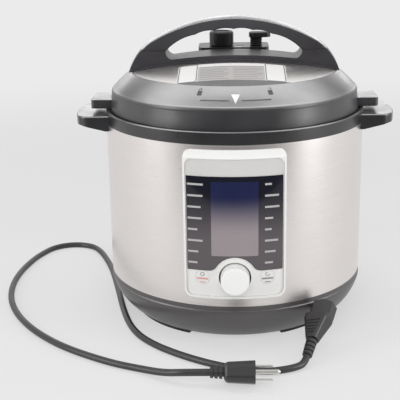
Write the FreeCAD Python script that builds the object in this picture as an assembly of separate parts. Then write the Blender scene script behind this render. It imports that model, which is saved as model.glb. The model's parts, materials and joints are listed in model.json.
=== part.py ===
"""Electric pressure cooker with a turn-to-lock lid and a detachable mains lead.

Millimetres. The origin is on the pot's axis at the floor, +Z is up and the control panel faces -Y.
Sizes build outwards and upwards from the inner pot, so one changed size carries its neighbours along.
"""
import FreeCAD, Part
import math
import os

Vec = FreeCAD.Vector

# Inner pot
pot_radius = 113.0
pot_height = 154.2
pot_wall = 1.0
pot_floor = 2.5
pot_corner = 9.0
pot_rim_width = 6.2
pot_rim_thickness = 2.2

# Chamber that holds the pot, with its locking lugs
pot_gap = 7.0
chamber_wall = 1.0
chamber_lift = 10.0
chamber_ledge = 11.0
flange_thickness = 2.5
flange_reach = 2.5
lug_count = 6
lug_half_angle = 13.0
lug_engagement = 2.4

# Clearances between pieces, the bite of fused solids and the reach of cutters past what they cut
seat_gap = 0.2
slide_gap = 0.3
turn_gap = 0.6
bore_gap = 0.1
weld = 1.0
overshoot = 5.0
pick_margin = 0.01

# Base tray and feet
foot_count = 4
foot_height = 3.5
foot_width = 19.5
foot_inset = 1.0
foot_half_angle = 19.5
foot_chamfer = 0.8
tray_height = 41.5
tray_wall = 2.5
tray_taper = 24.0
bowl_bulge = 4.0
collar_height = 6.0
collar_inset = 0.6
ridge_height = 1.5
ridge_proud = 0.3
ridge_slope = 1.0
tray_upstand = 7.0
vent_count = 10
vent_length = 24.0
vent_width = 3.0
vent_corner = 1.4
vent_inset = 48.0
vent_turn = 18.0
screw_count = 4
screw_inset = 26.0
screw_grip = 4.0
screw_radius = 2.0
screw_head_radius = 4.0
screw_head_height = 2.4

# Upper rim with side handles
rim_core_gap = 1.0
rim_core_drop = 6.0
rim_height = 12.8
rim_wall = 3.0
rim_inner_wall = 2.2
rim_floor = 2.5
rim_overhang = 0.5
rim_chamfer = 1.0
rim_skirt = 8.0
groove_depth = 6.0
drain_width = 12.0
drain_height = 4.0
handle_reach = 31.5
handle_half_width = 40.0
handle_bow = 7.5
handle_corner = 13.0
handle_top_drop = 4.3
handle_tip_thickness = 9.5
handle_root_thickness = 16.0
handle_edge = 2.2
handle_bite = 0.5

# Outer shell
shell_wall = 0.8
shell_cut_margin = 1.6
shell_cut_corner = 5.0

# Lid
lid_gap = 2.5
lid_wall = 2.4
lid_skirt_gap = 1.6
lid_plate_thickness = 1.5
lid_plate_rise = 8.0
lid_lug_thickness = 2.2
lid_lug_lift = 2.1
cover_lift = 1.4
cover_foot = 9.0
cover_wall_height = 24.0
cover_draft = 1.8
crease_inset = 4.4
crease_rise = 5.4
crease_bulge = 0.8
slope_bulge = 0.5
slope_wall = 2.8
cap_wall = 2.2
cap_edge = 2.0
lid_crown_height = 38.7
lid_opening_radius = 109.5
lip_width = 0.8
lip_rise = 0.6
dome_rise = 13.0
dome_thickness = 0.8
tongue_distance = 95.0
tongue_thickness = 1.0
fin_reach = 19.5
fin_half_width = 22.0
fin_thickness = 9.2
fin_lift = 0.8
fin_corner = 4.0
fin_root = 20.0
hole_margin = 1.2
lid_screw_x = 75.0
lid_screw_grip = 5.0
lid_post_wall = 3.0
seal_height = 13.0
seal_width = 6.0
seal_inset = 0.6
seal_chamfer = 1.5
seal_hollow = 1.6
seal_hollow_half = 3.0
plate_step_gap = 5.0
rack_wire = 2.2
rack_gap = 0.7
rack_sides = 8
rack_clip_count = 6
rack_clip_half_angle = 2.5
rack_clip_half_width = 0.8

# Lid handle
grip_half_length = 113.3
grip_rise = 43.1
grip_foot = 5.0
grip_shoulder_x = 89.3
grip_shoulder_drop = 25.0
grip_hip_out = 2.9
grip_hip_up = 2.5
grip_crown = 5.5
grip_side_share = 0.65
grip_depth = 15.0
grip_top_end_depth = 9.0
grip_base_depth = 29.0
grip_end_depth = 15.0
grip_end_margin = 2.0
grip_seam_rise = 9.0
window_half_length = 71.5
window_sill_rise = 4.7
window_corner = 7.5
window_corner_drop = 4.2
window_corner_round = 1.0
window_cheek_rise = 4.0
window_cheek_run = 11.0
window_cheek_top = 13.2
window_rise = 31.0
window_crest_fall = 5.3
scallop_count = 4
scallop_pitch = 20.0
scallop_depth = 1.6
plinth_height = 2.6
plinth_ledge = 2.4
plinth_end_ledge = 1.4

# Steam release group
platform_half_width = 39.0
platform_front = 36.0
platform_depth = 42.0
platform_rise = 4.5
platform_corner = 7.0
release_y = 53.0
valve_x = -13.5
valve_radius = 13.4
valve_height = 15.8
valve_foot = 1.0
valve_edge = 1.6
valve_lip = 3.0
valve_dish = 1.2
valve_flutes = 12
flute_radius = 1.4
flute_out = 0.9
flute_lift = 4.0
steam_pipe_radius = 5.0
steam_pipe_bore = 2.5
steam_pipe_rise = 10.0
steam_pipe_drop = 6.0
steam_flange_width = 4.0
steam_flange_thickness = 2.5
button_x = 25.0
button_radius = 8.0
button_paddle = 16.0
button_slim_share = 0.72
button_thickness = 5.6
button_edge = 1.4
button_stem_radius = 3.5
button_stem_drop = 9.0
bellows_radius = 7.0
bellows_height = 9.0
bellows_ribs = 4
bellows_fold = 1.2
float_x = 5.5
float_y = 46.0
float_radius = 3.2
float_head_radius = 4.9
float_head_height = 5.0
float_recess = 0.6
float_travel = 6.0
float_seal_width = 2.8
float_seal_height = 5.0
shield_radius = 14.0
shield_height = 16.0
shield_wall = 0.8
shield_chamfer = 2.0
shield_slots = 8
shield_slot_width = 2.6
shield_slot_lift = 4.0
shield_slot_drop = 3.0

# Heating group
plate_radius = 95.0
plate_thickness = 14.0
plate_skirt = 3.5
plate_foot = 12.0
plate_edge = 2.5
plate_shoulder = 15.0
plate_shoulder_run = 6.0
plate_shoulder_drop = 3.0
plate_dish = 0.4
plate_hole_radius = 15.5
element_circle = 66.0
element_radius = 4.5
terminal_radius = 3.0
terminal_length = 13.5
terminal_half_spacing = 9.0
sensor_height = 12.0
sensor_gap = 0.5
sensor_wall = 1.5
sensor_recess = 0.1
spring_radius = 6.5
spring_wire = 1.3
spring_turns = 4
spring_corners = 8
bracket_drop = 9.0
bracket_thickness = 1.2
bracket_half_length = 30.0
bracket_half_width = 8.0
fuse_x = -45.0
fuse_radius = 3.0
fuse_half_length = 9.0
fuse_drop = 4.0
fuse_clip_half = 4.0
switch_half_width = 10.0
switch_half_depth = 6.0
switch_height = 12.0
switch_drop = 2.0
switch_pin_radius = 2.0

# Power board, its parts placed from its front left corner as (along, across, length, width, height)
post_radius = 3.5
post_height = 8.0
board_inset = 32.0
board_rear = -4.0
board_length = 86.0
board_width = 48.0
board_edge = 5.0
board_thickness = 1.6
relay = (17.0, 7.0, 18.0, 15.0, 15.0)
transformer = (47.0, 9.0, 24.0, 20.0, 16.0)
sensor_socket = (13.0, 43.0, 18.0, 8.0, 9.0)
panel_socket = (57.0, 43.0, 22.0, 8.0, 9.0)
capacitor_along = 79.0
capacitor_across = 17.0
capacitor_radius = 5.0
capacitor_height = 13.0

# Control panel
panel_half_width = 50.3
panel_bottom_lift = 11.3
panel_top_drop = 4.5
panel_proud = 7.2
panel_corner = 8.0
bezel_side = 2.2
bezel_top_bevel = 7.0
bezel_top_edge = 1.0
fascia_inset = 1.6
fascia_thickness = 2.6
fascia_ledge = 3.0
fascia_top_gap = 0.6
panel_post_radius = 2.5
panel_post_inset = 2.0
panel_post_drop = 1.5
window_thickness = 0.8
window_side_gap = 1.0
window_bottom_lift = 29.0
window_top_drop = 18.0
window_arch_radius = 21.5
window_foot_radius = 9.0
lcd_half_width = 24.0
lcd_height = 78.0
lcd_lift = 16.0
lcd_thickness = 6.0
lcd_corner = 2.0
lcd_gap = 0.5
lcd_frame = 2.5
lcd_glass = 1.0
dial_lift = 33.0
dial_radius = 14.6
dial_proud = 12.0
dial_depth = 16.5
dial_hole_gap = 1.4
dial_skirt_wall = 2.2
dial_taper = 0.5
dial_edge = 1.2
dial_face = 2.5
dial_cap = 4.0
dial_hub_wall = 3.0
dial_hub_inset = 2.0
dial_shaft_radius = 2.9
plunger_wall = 0.6
plunger_fit = 0.05
plunger_proud = 1.0
plunger_end = 4.5
encoder_half = 6.5
encoder_body = 7.0
encoder_neck = 12.0
encoder_neck_radius = 5.0
encoder_floor = 2.0
key_radius = 7.2
key_hole_gap = 0.2
key_x = 32.0
key_stem_radius = 2.5
key_stem_length = 7.5
key_switch_half = 3.0
key_switch_height = 4.0
display_gap = 2.0
display_half_width = 42.0
display_margin = 4.0

# Rear pieces
inlet_half_width = 13.8
inlet_half_height = 10.0
inlet_wall = 1.7
inlet_depth = 18.5
inlet_floor = 3.5
inlet_flange = 2.7
inlet_flange_thickness = 2.0
inlet_corner = 3.0
inlet_clip = 4.0
inlet_lift = 20.5
inlet_recess = 4.5
inlet_boss_wall = 6.0
inlet_boss_depth = 4.0
pin_half_width = 1.0
pin_half_height = 2.0
pin_length = 11.5
pin_spacing = 7.0
pin_low = -1.5
pin_high = 2.5
cup_gap = 1.8
cup_half_width = 29.0
cup_height = 43.0
cup_depth = 15.2
cup_wall = 1.8
cup_corner = 6.0
cup_drop = 8.0
tab_drop = 8.0
tab_length = 9.5
tab_width = 2.0
tab_height = 3.0
tab_root = 9.0
ear_width = 5.0
ear_length = 11.0
ear_wall = 1.0
ear_margin = 3.0
cup_plate_thickness = 1.2
cup_plate_margin = 5.0
cup_plate_corner = 3.0

# Mains lead
cord_diameter = 7.0
cord_bend_share = 0.45
plug_length = 29.3
plug_width = 21.5
plug_thickness = 24.0
plug_corner = 7.0
plug_tail_share = 0.87
plug_shoulder = 4.5
plug_relief_length = 13.0
plug_relief_tip = 5.2
plug_relief_root = 6.2
plug_relief_rings = 3
plug_roll = -31.5
blade_length = 16.5
blade_half_width = 3.15
blade_half_thickness = 0.75
blade_spacing = 12.7
ground_offset = 11.9
ground_length = 23.0
ground_radius = 2.4
ground_nose = 2.0
connector_length = 46.5
connector_nose = 17.0
connector_width = 24.0
connector_thickness = 16.0
connector_clip = 6.0
connector_slot_depth = 12.0
connector_grip_step = 1.0
connector_shoulder = 5.0
connector_corner = 4.0
connector_tail = 12.0
connector_roll = -21.5
connector_relief_length = 19.7
connector_relief_tip = 4.9
connector_relief_root = 5.6
connector_relief_rings = 4
grip_groove_count = 5
grip_groove_pitch = 3.5
grip_groove_width = 1.3
grip_groove_depth = 0.8
grip_groove_margin = 3.5
grip_groove_start = 4.5
relief_wall = 0.6
relief_ring_share = 0.64
relief_groove_share = 0.95

# Places worked out from the sizes above, from the floor up
tray_bottom = foot_height
tray_floor = tray_bottom + tray_wall
board_level = tray_floor + post_height
inlet_z = tray_bottom + inlet_lift
shell_bottom = tray_bottom + tray_height
chamber_bottom = shell_bottom + chamber_lift
plate_bottom = chamber_bottom + chamber_wall
plate_under = plate_bottom + plate_skirt
plate_top = plate_bottom + plate_thickness
sensor_seat = plate_bottom - bracket_drop
sensor_top = plate_top - sensor_recess
pot_bottom = plate_top + seat_gap
pot_top = pot_bottom + pot_height
flange_top = pot_top - pot_rim_thickness - seat_gap
flange_bottom = flange_top - flange_thickness
groove_floor = flange_bottom - groove_depth
shell_top = groove_floor - rim_floor
rim_top = shell_top + rim_height
dome_edge = rim_top + lid_crown_height
dome_top = dome_edge + dome_rise

# Radii worked out from the pot outwards
chamber_inner = pot_radius + pot_gap
chamber_radius = chamber_inner + chamber_wall
flange_radius = chamber_radius + flange_reach
rim_core = chamber_radius + rim_core_gap
rim_core_outer = rim_core + rim_inner_wall
lid_lug_inner = rim_core_outer + turn_gap
lug_outer = lid_lug_inner + lug_engagement
skirt_inner = lug_outer + slide_gap
skirt_outer = skirt_inner + lid_plate_thickness
lid_inner = skirt_outer + lid_skirt_gap
lid_radius = lid_inner + lid_wall
rim_inner = lid_radius + lid_gap
rim_radius = rim_inner + rim_wall
shell_radius = rim_radius - rim_overhang
shell_inner = shell_radius - shell_wall
tray_floor_radius = shell_radius - tray_taper
screw_circle = tray_floor_radius - screw_inset
vent_circle = tray_floor_radius - vent_inset
seal_outer = pot_radius + pot_rim_width - seal_inset
seal_inner = seal_outer - seal_width

# Control panel places
panel_bottom = shell_bottom + panel_bottom_lift
panel_top = shell_top - panel_top_drop
panel_ledge_low = panel_bottom + bezel_side + fascia_ledge
panel_ledge_high = panel_top - bezel_top_bevel - fascia_ledge
panel_radius = shell_radius + panel_proud
panel_reach = panel_radius + overshoot
fascia_radius = panel_radius - fascia_inset
fascia_back = fascia_radius - fascia_thickness
window_radius = fascia_radius + window_thickness
window_bottom = panel_bottom + window_bottom_lift
window_top = panel_top - bezel_top_bevel - window_top_drop
lcd_bottom = window_bottom + lcd_lift
lcd_top = lcd_bottom + lcd_height
dial_z = shell_bottom + dial_lift
display_back = -(chamber_radius + display_gap)
display_front = display_back - board_thickness
encoder_front = display_front - encoder_neck
plunger_back = display_front - plunger_end
dial_front = -(fascia_radius + dial_proud)
key_azimuth = math.degrees(math.asin(key_x / fascia_radius))

# Rear places
inlet_face = shell_radius - inlet_recess
inlet_back = inlet_face - inlet_depth + inlet_floor
cup_near = shell_radius + cup_gap
cup_top = shell_top - cup_drop
tab_low = cup_top - tab_drop
tab_high = tab_low + tab_height

# Lid places
skirt_bottom = groove_floor + lid_lug_lift
cover_bottom = skirt_bottom + cover_lift
wall_top = cover_bottom + cover_wall_height
crease_z = wall_top + crease_rise
crease_radius = lid_radius - crease_inset
lip_z = dome_edge + lip_rise
seal_bottom = pot_top + slide_gap
seal_top = seal_bottom + seal_height
seal_middle = (seal_bottom + seal_top) / 2.0
plate_seat = seal_top + slide_gap
plate_crown = plate_seat + lid_plate_rise
platform_top = dome_top + platform_rise
valve_low = platform_top + slide_gap
pipe_top = platform_top + steam_pipe_rise
button_low = platform_top + bellows_height + slide_gap
float_rest = platform_top - float_head_height - float_recess
float_low = plate_crown - float_travel - seat_gap

# The plug lies on a rounded corner of its face
plug_lean = math.radians(abs(plug_roll))
plug_rest = plug_corner + seat_gap + (plug_thickness / 2.0 - plug_corner) * math.sin(plug_lean)
plug_height = plug_rest + (plug_width / 2.0 - plug_corner) * math.cos(plug_lean)

# The cord's route, points chosen by hand: down from the plug, round on the floor, up into the connector
cord_rest = cord_diameter / 2.0
floor_route = [
    (-92.0, -191.6), (-118.0, -180.6), (-146.0, -163.5), (-174.0, -143.0), (-199.0, -118.6), (-221.0, -91.0),
    (-241.0, -57.0), (-256.0, -18.0), (-263.5, 26.0), (-263.0, 70.0), (-255.0, 115.0), (-247.0, 137.0),
    (-238.0, 156.0), (-222.4, 167.7), (-203.0, 169.8), (-185.3, 161.5), (-174.4, 145.4), (-163.0, 117.0),
    (-150.5, 78.0), (-137.5, 20.0), (-120.5, -62.0), (-105.5, -107.0), (-84.0, -137.0), (-52.0, -164.0),
    (-18.0, -184.5), (11.1, -195.0), (33.0, -197.0), (45.5, -194.0),
]
plug_end = [(-23.9, -218.0, plug_height), (-48.0, -218.0, plug_height), (-68.0, -206.5, 6.6)]
connector_end = [(57.5, -189.0, 3.6), (66.68, -182.58, 4.45), (69.7, -174.2, 9.0)]
cord_route = plug_end + [(x, y, cord_rest) for x, y in floor_route] + connector_end
connector_tip = (91.5, -113.75, 41.8)

AXIS = Vec(0, 0, 1)
ORIGIN = Vec(0, 0, 0)


# Outlines and solids

class Bow:
    """A parabola in an outline, pulled towards one point and ending at another."""

    def __init__(self, pull, end):
        self.pull = pull
        self.end = end


def edges_through(outline, place):
    """Edges of a closed outline. A pair of points is an arc by way of the first to the second."""
    edges = []
    start = outline[0]
    for step in outline[1:] + [outline[0]]:
        if isinstance(step, Bow):
            end = step.end
            curve = Part.BezierCurve()
            curve.setPoles([place(start), place(step.pull), place(end)])
            edges.append(curve.toShape())
        elif isinstance(step[0], tuple):
            middle, end = step
            edges.append(Part.Arc(place(start), place(middle), place(end)).toShape())
        else:
            end = step
            if end != start:
                edges.append(Part.makeLine(place(start), place(end)))
        start = end
    return edges


def face_of(outline, place):
    """The plane face inside a closed outline."""
    return Part.Face(Part.Wire(edges_through(outline, place)))


def quarter(start, corner, end):
    """The step of an outline round a square corner, from one point to another."""
    share = 1.0 - math.sqrt(0.5)
    middle = tuple(c + (s + e - 2.0 * c) * share for s, c, e in zip(start, corner, end))
    return middle, end


def revolve(outline, middle_azimuth=0.0, half_angle=180.0):
    """Turn an outline of (radius, height) about the pot's axis. Azimuth 0 is the front, 90 is +X."""
    face = face_of(outline, lambda p: Vec(p[0], 0, p[1]))
    face.rotate(ORIGIN, AXIS, middle_azimuth - half_angle - 90.0)
    return face.revolve(ORIGIN, AXIS, 2.0 * half_angle)


def box_profile(inner, outer, low, high):
    """A rectangle of radius and height."""
    return [(inner, low), (outer, low), (outer, high), (inner, high)]


def ring(inner, outer, low, high):
    """A plain ring about the pot's axis."""
    return revolve(box_profile(inner, outer, low, high))


def extrude_front(outline, near, far):
    """Extrude a front view of (x, z) from y = near to y = far."""
    return face_of(outline, lambda p: Vec(p[0], near, p[1])).extrude(Vec(0, far - near, 0))


def extrude_plan(outline, low, high):
    """Extrude a plan view of (x, y) from z = low to z = high."""
    return face_of(outline, lambda p: Vec(p[0], p[1], low)).extrude(Vec(0, 0, high - low))


def rounded(left, right, low, high, corner):
    """A rectangle with four round corners."""
    return [
        (left + corner, low), (right - corner, low),
        quarter((right - corner, low), (right, low), (right, low + corner)), (right, high - corner),
        quarter((right, high - corner), (right, high), (right - corner, high)), (left + corner, high),
        quarter((left + corner, high), (left, high), (left, high - corner)), (left, low + corner),
        quarter((left, low + corner), (left, low), (left + corner, low)),
    ]


def rod(radius, start, end):
    """A cylinder from one point to another."""
    start, end = Vec(*start), Vec(*end)
    return Part.makeCylinder(radius, (end - start).Length, start, end - start)


def post(radius, x, y, low, high):
    """An upright cylinder."""
    return rod(radius, (x, y, low), (x, y, high))


def block(left, right, near, far, low, high):
    """A box between two corners."""
    return Part.makeBox(right - left, far - near, high - low, Vec(left, near, low))


def join(solids):
    """Fuse touching solids into one."""
    return solids[0].multiFuse(solids[1:]).removeSplitter()


def cut(solid, cutters):
    """Take several cutters out of a solid."""
    return solid.cut(Part.makeCompound(cutters))


def at_azimuth(radius, azimuth, z):
    """A point on a circle about the pot's axis."""
    turn = math.radians(azimuth)
    return (radius * math.sin(turn), -radius * math.cos(turn), z)


def mirrored(solid):
    """The same solid on the other side of the middle plane."""
    return solid.mirror(ORIGIN, Vec(1, 0, 0))


def rounded_path(points):
    """Edges of straight runs joined by arcs as large as the runs allow, and the arcs' radii."""
    edges, radii = [], []
    here = points[0]
    for before, corner, after in zip(points, points[1:], points[2:]):
        into, out = corner - before, after - corner
        trim = cord_bend_share * min(into.Length, out.Length)
        half_turn = into.getAngle(out) / 2.0
        radius = trim / math.tan(half_turn)
        into.normalize()
        out.normalize()
        start, end = corner - into * trim, corner + out * trim
        inward = out - into
        inward.normalize()
        middle = corner + inward * (radius / math.cos(half_turn) - radius)
        edges.append(Part.LineSegment(here, start).toShape())
        edges.append(Part.Arc(start, middle, end).toShape())
        radii.append(radius)
        here = end
    edges.append(Part.LineSegment(here, points[-1]).toShape())
    return edges, radii


def tube(points, edges, diameter):
    """A round solid along a path's edges."""
    section = Part.Wire(Part.makeCircle(diameter / 2.0, points[0], points[1] - points[0]))
    return Part.Wire(edges).makePipeShell([section], True, False)


# Base

def base_tray():
    """Bowl with a ridge, a collar under the shell, vents, board posts and the inlet's boss."""
    ridge_radius = shell_radius + ridge_proud
    ridge_bottom = shell_bottom - collar_height - ridge_height
    ridge_top = ridge_bottom + ridge_height
    middle_r = (tray_floor_radius + ridge_radius) / 2.0
    middle_z = (tray_bottom + ridge_bottom) / 2.0
    slope = math.hypot(ridge_radius - tray_floor_radius, ridge_bottom - tray_bottom)
    out_r = (ridge_bottom - tray_bottom) / slope
    out_z = -(ridge_radius - tray_floor_radius) / slope
    thin = bowl_bulge - tray_wall
    collar = shell_radius - collar_inset
    upstand = shell_inner - seat_gap
    upstand_top = shell_bottom + tray_upstand
    inner = upstand - tray_wall
    bowl = revolve([
        (0.0, tray_bottom), (tray_floor_radius, tray_bottom),
        ((middle_r + out_r * bowl_bulge, middle_z + out_z * bowl_bulge), (ridge_radius, ridge_bottom)),
        (ridge_radius, ridge_top), (collar, ridge_top + ridge_slope),
        (collar, shell_bottom), (upstand, shell_bottom), (upstand, upstand_top),
        (inner, upstand_top), (inner, ridge_bottom),
        ((middle_r + out_r * thin, middle_z + out_z * thin), (tray_floor_radius - tray_wall, tray_floor)),
        (0.0, tray_floor),
    ])
    half, tall = inlet_half_width + slide_gap, inlet_half_height + slide_gap
    boss_half = inlet_half_width + inlet_boss_wall
    boss_near = tray_floor_radius - tray_wall - inlet_boss_depth
    boss = block(-boss_half, boss_half, boss_near, inlet_face, tray_bottom,
                 inlet_z + inlet_half_height + inlet_boss_wall)
    posts = [post(post_radius, x, y, tray_floor, board_level) for x, y in board_posts()]
    tray = join([bowl, boss] + posts)
    pocket = block(-half, half, boss_near - overshoot, inlet_face, inlet_z - tall, inlet_z + tall)
    half, tall = half + inlet_flange, tall + inlet_flange
    recess = block(-half, half, inlet_face, shell_radius + overshoot, inlet_z - tall, inlet_z + tall)
    vent_outline = rounded(vent_circle - vent_length / 2.0, vent_circle + vent_length / 2.0,
                           -vent_width / 2.0, vent_width / 2.0, vent_corner)
    vents = []
    for index in range(vent_count):
        vent = extrude_plan(vent_outline, tray_bottom - overshoot, tray_floor + overshoot)
        vent.rotate(ORIGIN, AXIS, vent_turn + index * 360.0 / vent_count)
        vents.append(vent)
    holes = [post(screw_radius + slide_gap, x, y, tray_bottom - overshoot, tray_floor + overshoot)
             for x, y in base_screw_places()]
    return cut(tray, [pocket, recess] + vents + holes)


def board_posts():
    """Plan places of the posts under the power board."""
    left = board_inset - tray_floor_radius
    front = board_rear - board_width
    return [(x, y) for x in (left, left + board_length) for y in (front, board_rear)]


def base_screw_places():
    """Plan places of the bottom screws, between the feet."""
    return [at_azimuth(screw_circle, index * 360.0 / screw_count, 0.0)[:2] for index in range(screw_count)]


def feet():
    """Arc pads under the tray, with a small chamfer at the floor."""
    outer = tray_floor_radius - foot_inset
    inner = outer - foot_width
    profile = [(inner + foot_chamfer, 0.0), (outer - foot_chamfer, 0.0), (outer, foot_chamfer),
               (outer, tray_bottom), (inner, tray_bottom), (inner, foot_chamfer)]
    pitch = 360.0 / foot_count
    return Part.makeCompound([revolve(profile, pitch * (index + 0.5), foot_half_angle)
                              for index in range(foot_count)])


def base_screws():
    """Pan-head screws through the tray's floor."""
    return Part.makeCompound([
        join([post(screw_head_radius, x, y, tray_bottom - screw_head_height, tray_bottom),
              post(screw_radius, x, y, tray_bottom, tray_floor + screw_grip)])
        for x, y in base_screw_places()])


def outer_shell():
    """Steel drum, open behind the control panel."""
    drum = ring(shell_inner, shell_radius, shell_bottom, shell_top)
    half = panel_half_width - shell_cut_margin
    outline = rounded(-half, half, panel_bottom + shell_cut_margin,
                      panel_top - bezel_top_bevel - shell_cut_margin, shell_cut_corner)
    return drum.cut(extrude_front(outline, -panel_reach, 0.0))


def upper_rim():
    """Groove ring that carries the chamber, with a drain at the rear and two side handles."""
    skirt_out = shell_inner - seat_gap
    skirt_in = skirt_out - rim_wall
    skirt_low = shell_top - rim_skirt
    core_low = shell_top - rim_core_drop
    core_high = flange_bottom - seat_gap
    inner_chamfer = rim_chamfer / 2.0
    body = revolve([
        (rim_core, core_low), (rim_core_outer, core_low), (rim_core_outer, shell_top),
        (skirt_in, shell_top), (skirt_in, skirt_low), (skirt_out, skirt_low),
        (skirt_out, shell_top), (rim_radius, shell_top), (rim_radius, rim_top - rim_chamfer),
        (rim_radius - rim_chamfer, rim_top), (rim_inner + inner_chamfer, rim_top),
        (rim_inner, rim_top - inner_chamfer), (rim_inner, groove_floor), (rim_core_outer, groove_floor),
        (rim_core_outer, core_high), (rim_core, core_high),
    ])
    drain = block(-drain_width / 2.0, drain_width / 2.0, rim_inner - overshoot, rim_radius + overshoot,
                  groove_floor, groove_floor + drain_height)
    handle = side_handle()
    return join([body.cut(drain), handle, mirrored(handle)])


def side_handle():
    """A grip block on the rim, bowed at its tip and thinner towards it."""
    root = rim_inner + handle_bite
    tip = rim_radius + handle_reach
    bow = tip - handle_bow
    top = rim_top - handle_top_drop
    half = handle_half_width
    plan = extrude_plan([(rim_core, -half), (bow, -half), ((tip, 0.0), (bow, half)), (rim_core, half)],
                        shell_bottom, rim_top)
    side = extrude_front([
        (rim_core, top), (rim_core, top - handle_root_thickness), (root, top - handle_root_thickness),
        (bow, top - handle_tip_thickness), (tip + overshoot, top - handle_tip_thickness),
        (tip + overshoot, top),
    ], -half - overshoot, half + overshoot)
    grip = plan.common(side)
    corners = [edge for edge in grip.Edges if abs(edge.CenterOfMass.x - bow) < seat_gap
               and edge.BoundBox.ZLength > handle_edge]
    grip = grip.makeFillet(handle_corner, corners)
    upper = [edge for edge in grip.Edges if edge.BoundBox.ZMin > top - seat_gap
             and edge.BoundBox.XMax > root]
    grip = grip.makeFillet(handle_edge, upper)
    return cut(grip, [ring(0.0, root, shell_top, rim_top),
                      ring(0.0, shell_radius, shell_bottom, shell_top)])


# Pot and heating group

def outer_pot():
    """Steel chamber with a flange and outward locking lugs, open at the bottom for the heating plate."""
    lip = pot_radius + pot_gap / 2.0
    ledge = plate_radius - chamber_ledge
    body = revolve([
        (ledge, chamber_bottom), (chamber_radius, chamber_bottom), (chamber_radius, flange_bottom),
        (flange_radius, flange_bottom), (flange_radius, flange_top), (lip, flange_top),
        (lip, flange_bottom), (chamber_inner, flange_bottom), (chamber_inner, plate_bottom),
        (ledge, plate_bottom),
    ])
    pitch = 360.0 / lug_count
    profile = box_profile(flange_radius - weld, lug_outer, flange_bottom, flange_top)
    lugs = [revolve(profile, pitch * (index + 0.5), lug_half_angle) for index in range(lug_count)]
    return join([body] + lugs)


def inner_pot():
    """Drawn pot with a round bottom corner and a rolled rim."""
    inside = pot_radius - pot_wall
    inner_corner = pot_corner - pot_wall
    floor_top = pot_bottom + pot_floor
    roll = pot_rim_thickness / 2.0
    roll_start = pot_radius + pot_rim_width - roll
    return revolve([
        (0.0, pot_bottom), (pot_radius - pot_corner, pot_bottom),
        quarter((pot_radius - pot_corner, pot_bottom), (pot_radius, pot_bottom),
                (pot_radius, pot_bottom + pot_corner)),
        (pot_radius, pot_top - pot_rim_thickness), (roll_start, pot_top - pot_rim_thickness),
        ((roll_start + roll, pot_top - roll), (roll_start, pot_top)), (pot_radius, pot_top),
        quarter((pot_radius, pot_top), (inside, pot_top), (inside, pot_top - pot_wall)),
        (inside, floor_top + inner_corner),
        quarter((inside, floor_top + inner_corner), (inside, floor_top),
                (inside - inner_corner, floor_top)),
        (0.0, floor_top),
    ])


def heating_plate():
    """Cast plate with the heating element's loop and two terminals below."""
    shoulder = plate_radius - plate_shoulder
    foot = plate_radius - plate_foot
    body = revolve([
        (plate_hole_radius, plate_under), (plate_hole_radius, plate_top - plate_dish),
        (shoulder, plate_top), (shoulder + plate_shoulder_run, plate_top - plate_shoulder_drop),
        (plate_radius, plate_bottom + plate_edge), (plate_radius, plate_bottom), (foot, plate_bottom),
        (foot, plate_under),
    ])
    left, right = element_circle - element_radius, element_circle + element_radius
    loop = revolve([(left, plate_under + weld), (left, plate_under),
                    ((element_circle, plate_under - element_radius), (right, plate_under)),
                    (right, plate_under + weld)])
    terminals = [post(terminal_radius, x, element_circle, plate_under - terminal_length, plate_under + weld)
                 for x in (-terminal_half_spacing, terminal_half_spacing)]
    return join([body, loop] + terminals)


def sensor_cap():
    """Aluminium cup that the pot's bottom presses on."""
    radius = plate_hole_radius - sensor_gap
    inside = radius - sensor_wall
    low = plate_top - sensor_height
    return revolve([
        (0.0, sensor_top - sensor_wall), (inside, sensor_top - sensor_wall), (inside, low), (radius, low),
        (radius, sensor_top - sensor_wall), (inside, sensor_top), (0.0, sensor_top),
    ])


def sensor_spring():
    """Helical spring inside the sensor cap, its turns worked out from the corners around the coil."""
    low = sensor_seat + bracket_thickness + spring_wire / 2.0
    rise = sensor_top - sensor_wall - spring_wire / 2.0 - low
    steps = spring_turns * spring_corners
    around = spring_radius / math.cos(math.pi / spring_corners)
    points = []
    for step in range(steps + 1):
        points.append(Vec(*at_azimuth(around, 360.0 * step / spring_corners, low + rise * step / steps)))
    edges, radii = rounded_path(points)
    print("spring gap", round(rise / spring_turns - spring_wire, 2), "least bend", round(min(radii), 2))
    return tube(points, edges, spring_wire)


def sensor_bracket():
    """Steel strap under the heating plate that carries the sensor's spring."""
    reach, half = bracket_half_length, bracket_half_width
    strap = block(-reach, reach, -half, half, sensor_seat, sensor_seat + bracket_thickness)
    leg = block(reach - bracket_thickness, reach, -half, half, sensor_seat, plate_under)
    return join([strap, leg, mirrored(leg)])


def thermal_fuse():
    """Fuse in a clip on the heating plate's underside."""
    middle = plate_under - fuse_drop
    body = rod(fuse_radius, (fuse_x, -fuse_half_length, middle), (fuse_x, fuse_half_length, middle))
    clip = block(fuse_x - fuse_clip_half, fuse_x + fuse_clip_half, -fuse_clip_half, fuse_clip_half, middle,
                 plate_under)
    return join([body, clip])


def pressure_switch():
    """Switch that feels the chamber's floor move as pressure builds."""
    middle = (plate_radius + chamber_radius) / 2.0
    top = chamber_bottom - switch_drop
    body = block(-switch_half_width, switch_half_width, middle - switch_half_depth,
                 middle + switch_half_depth, top - switch_height, top)
    return join([body, post(switch_pin_radius, 0.0, middle, top - weld, chamber_bottom)])


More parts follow.
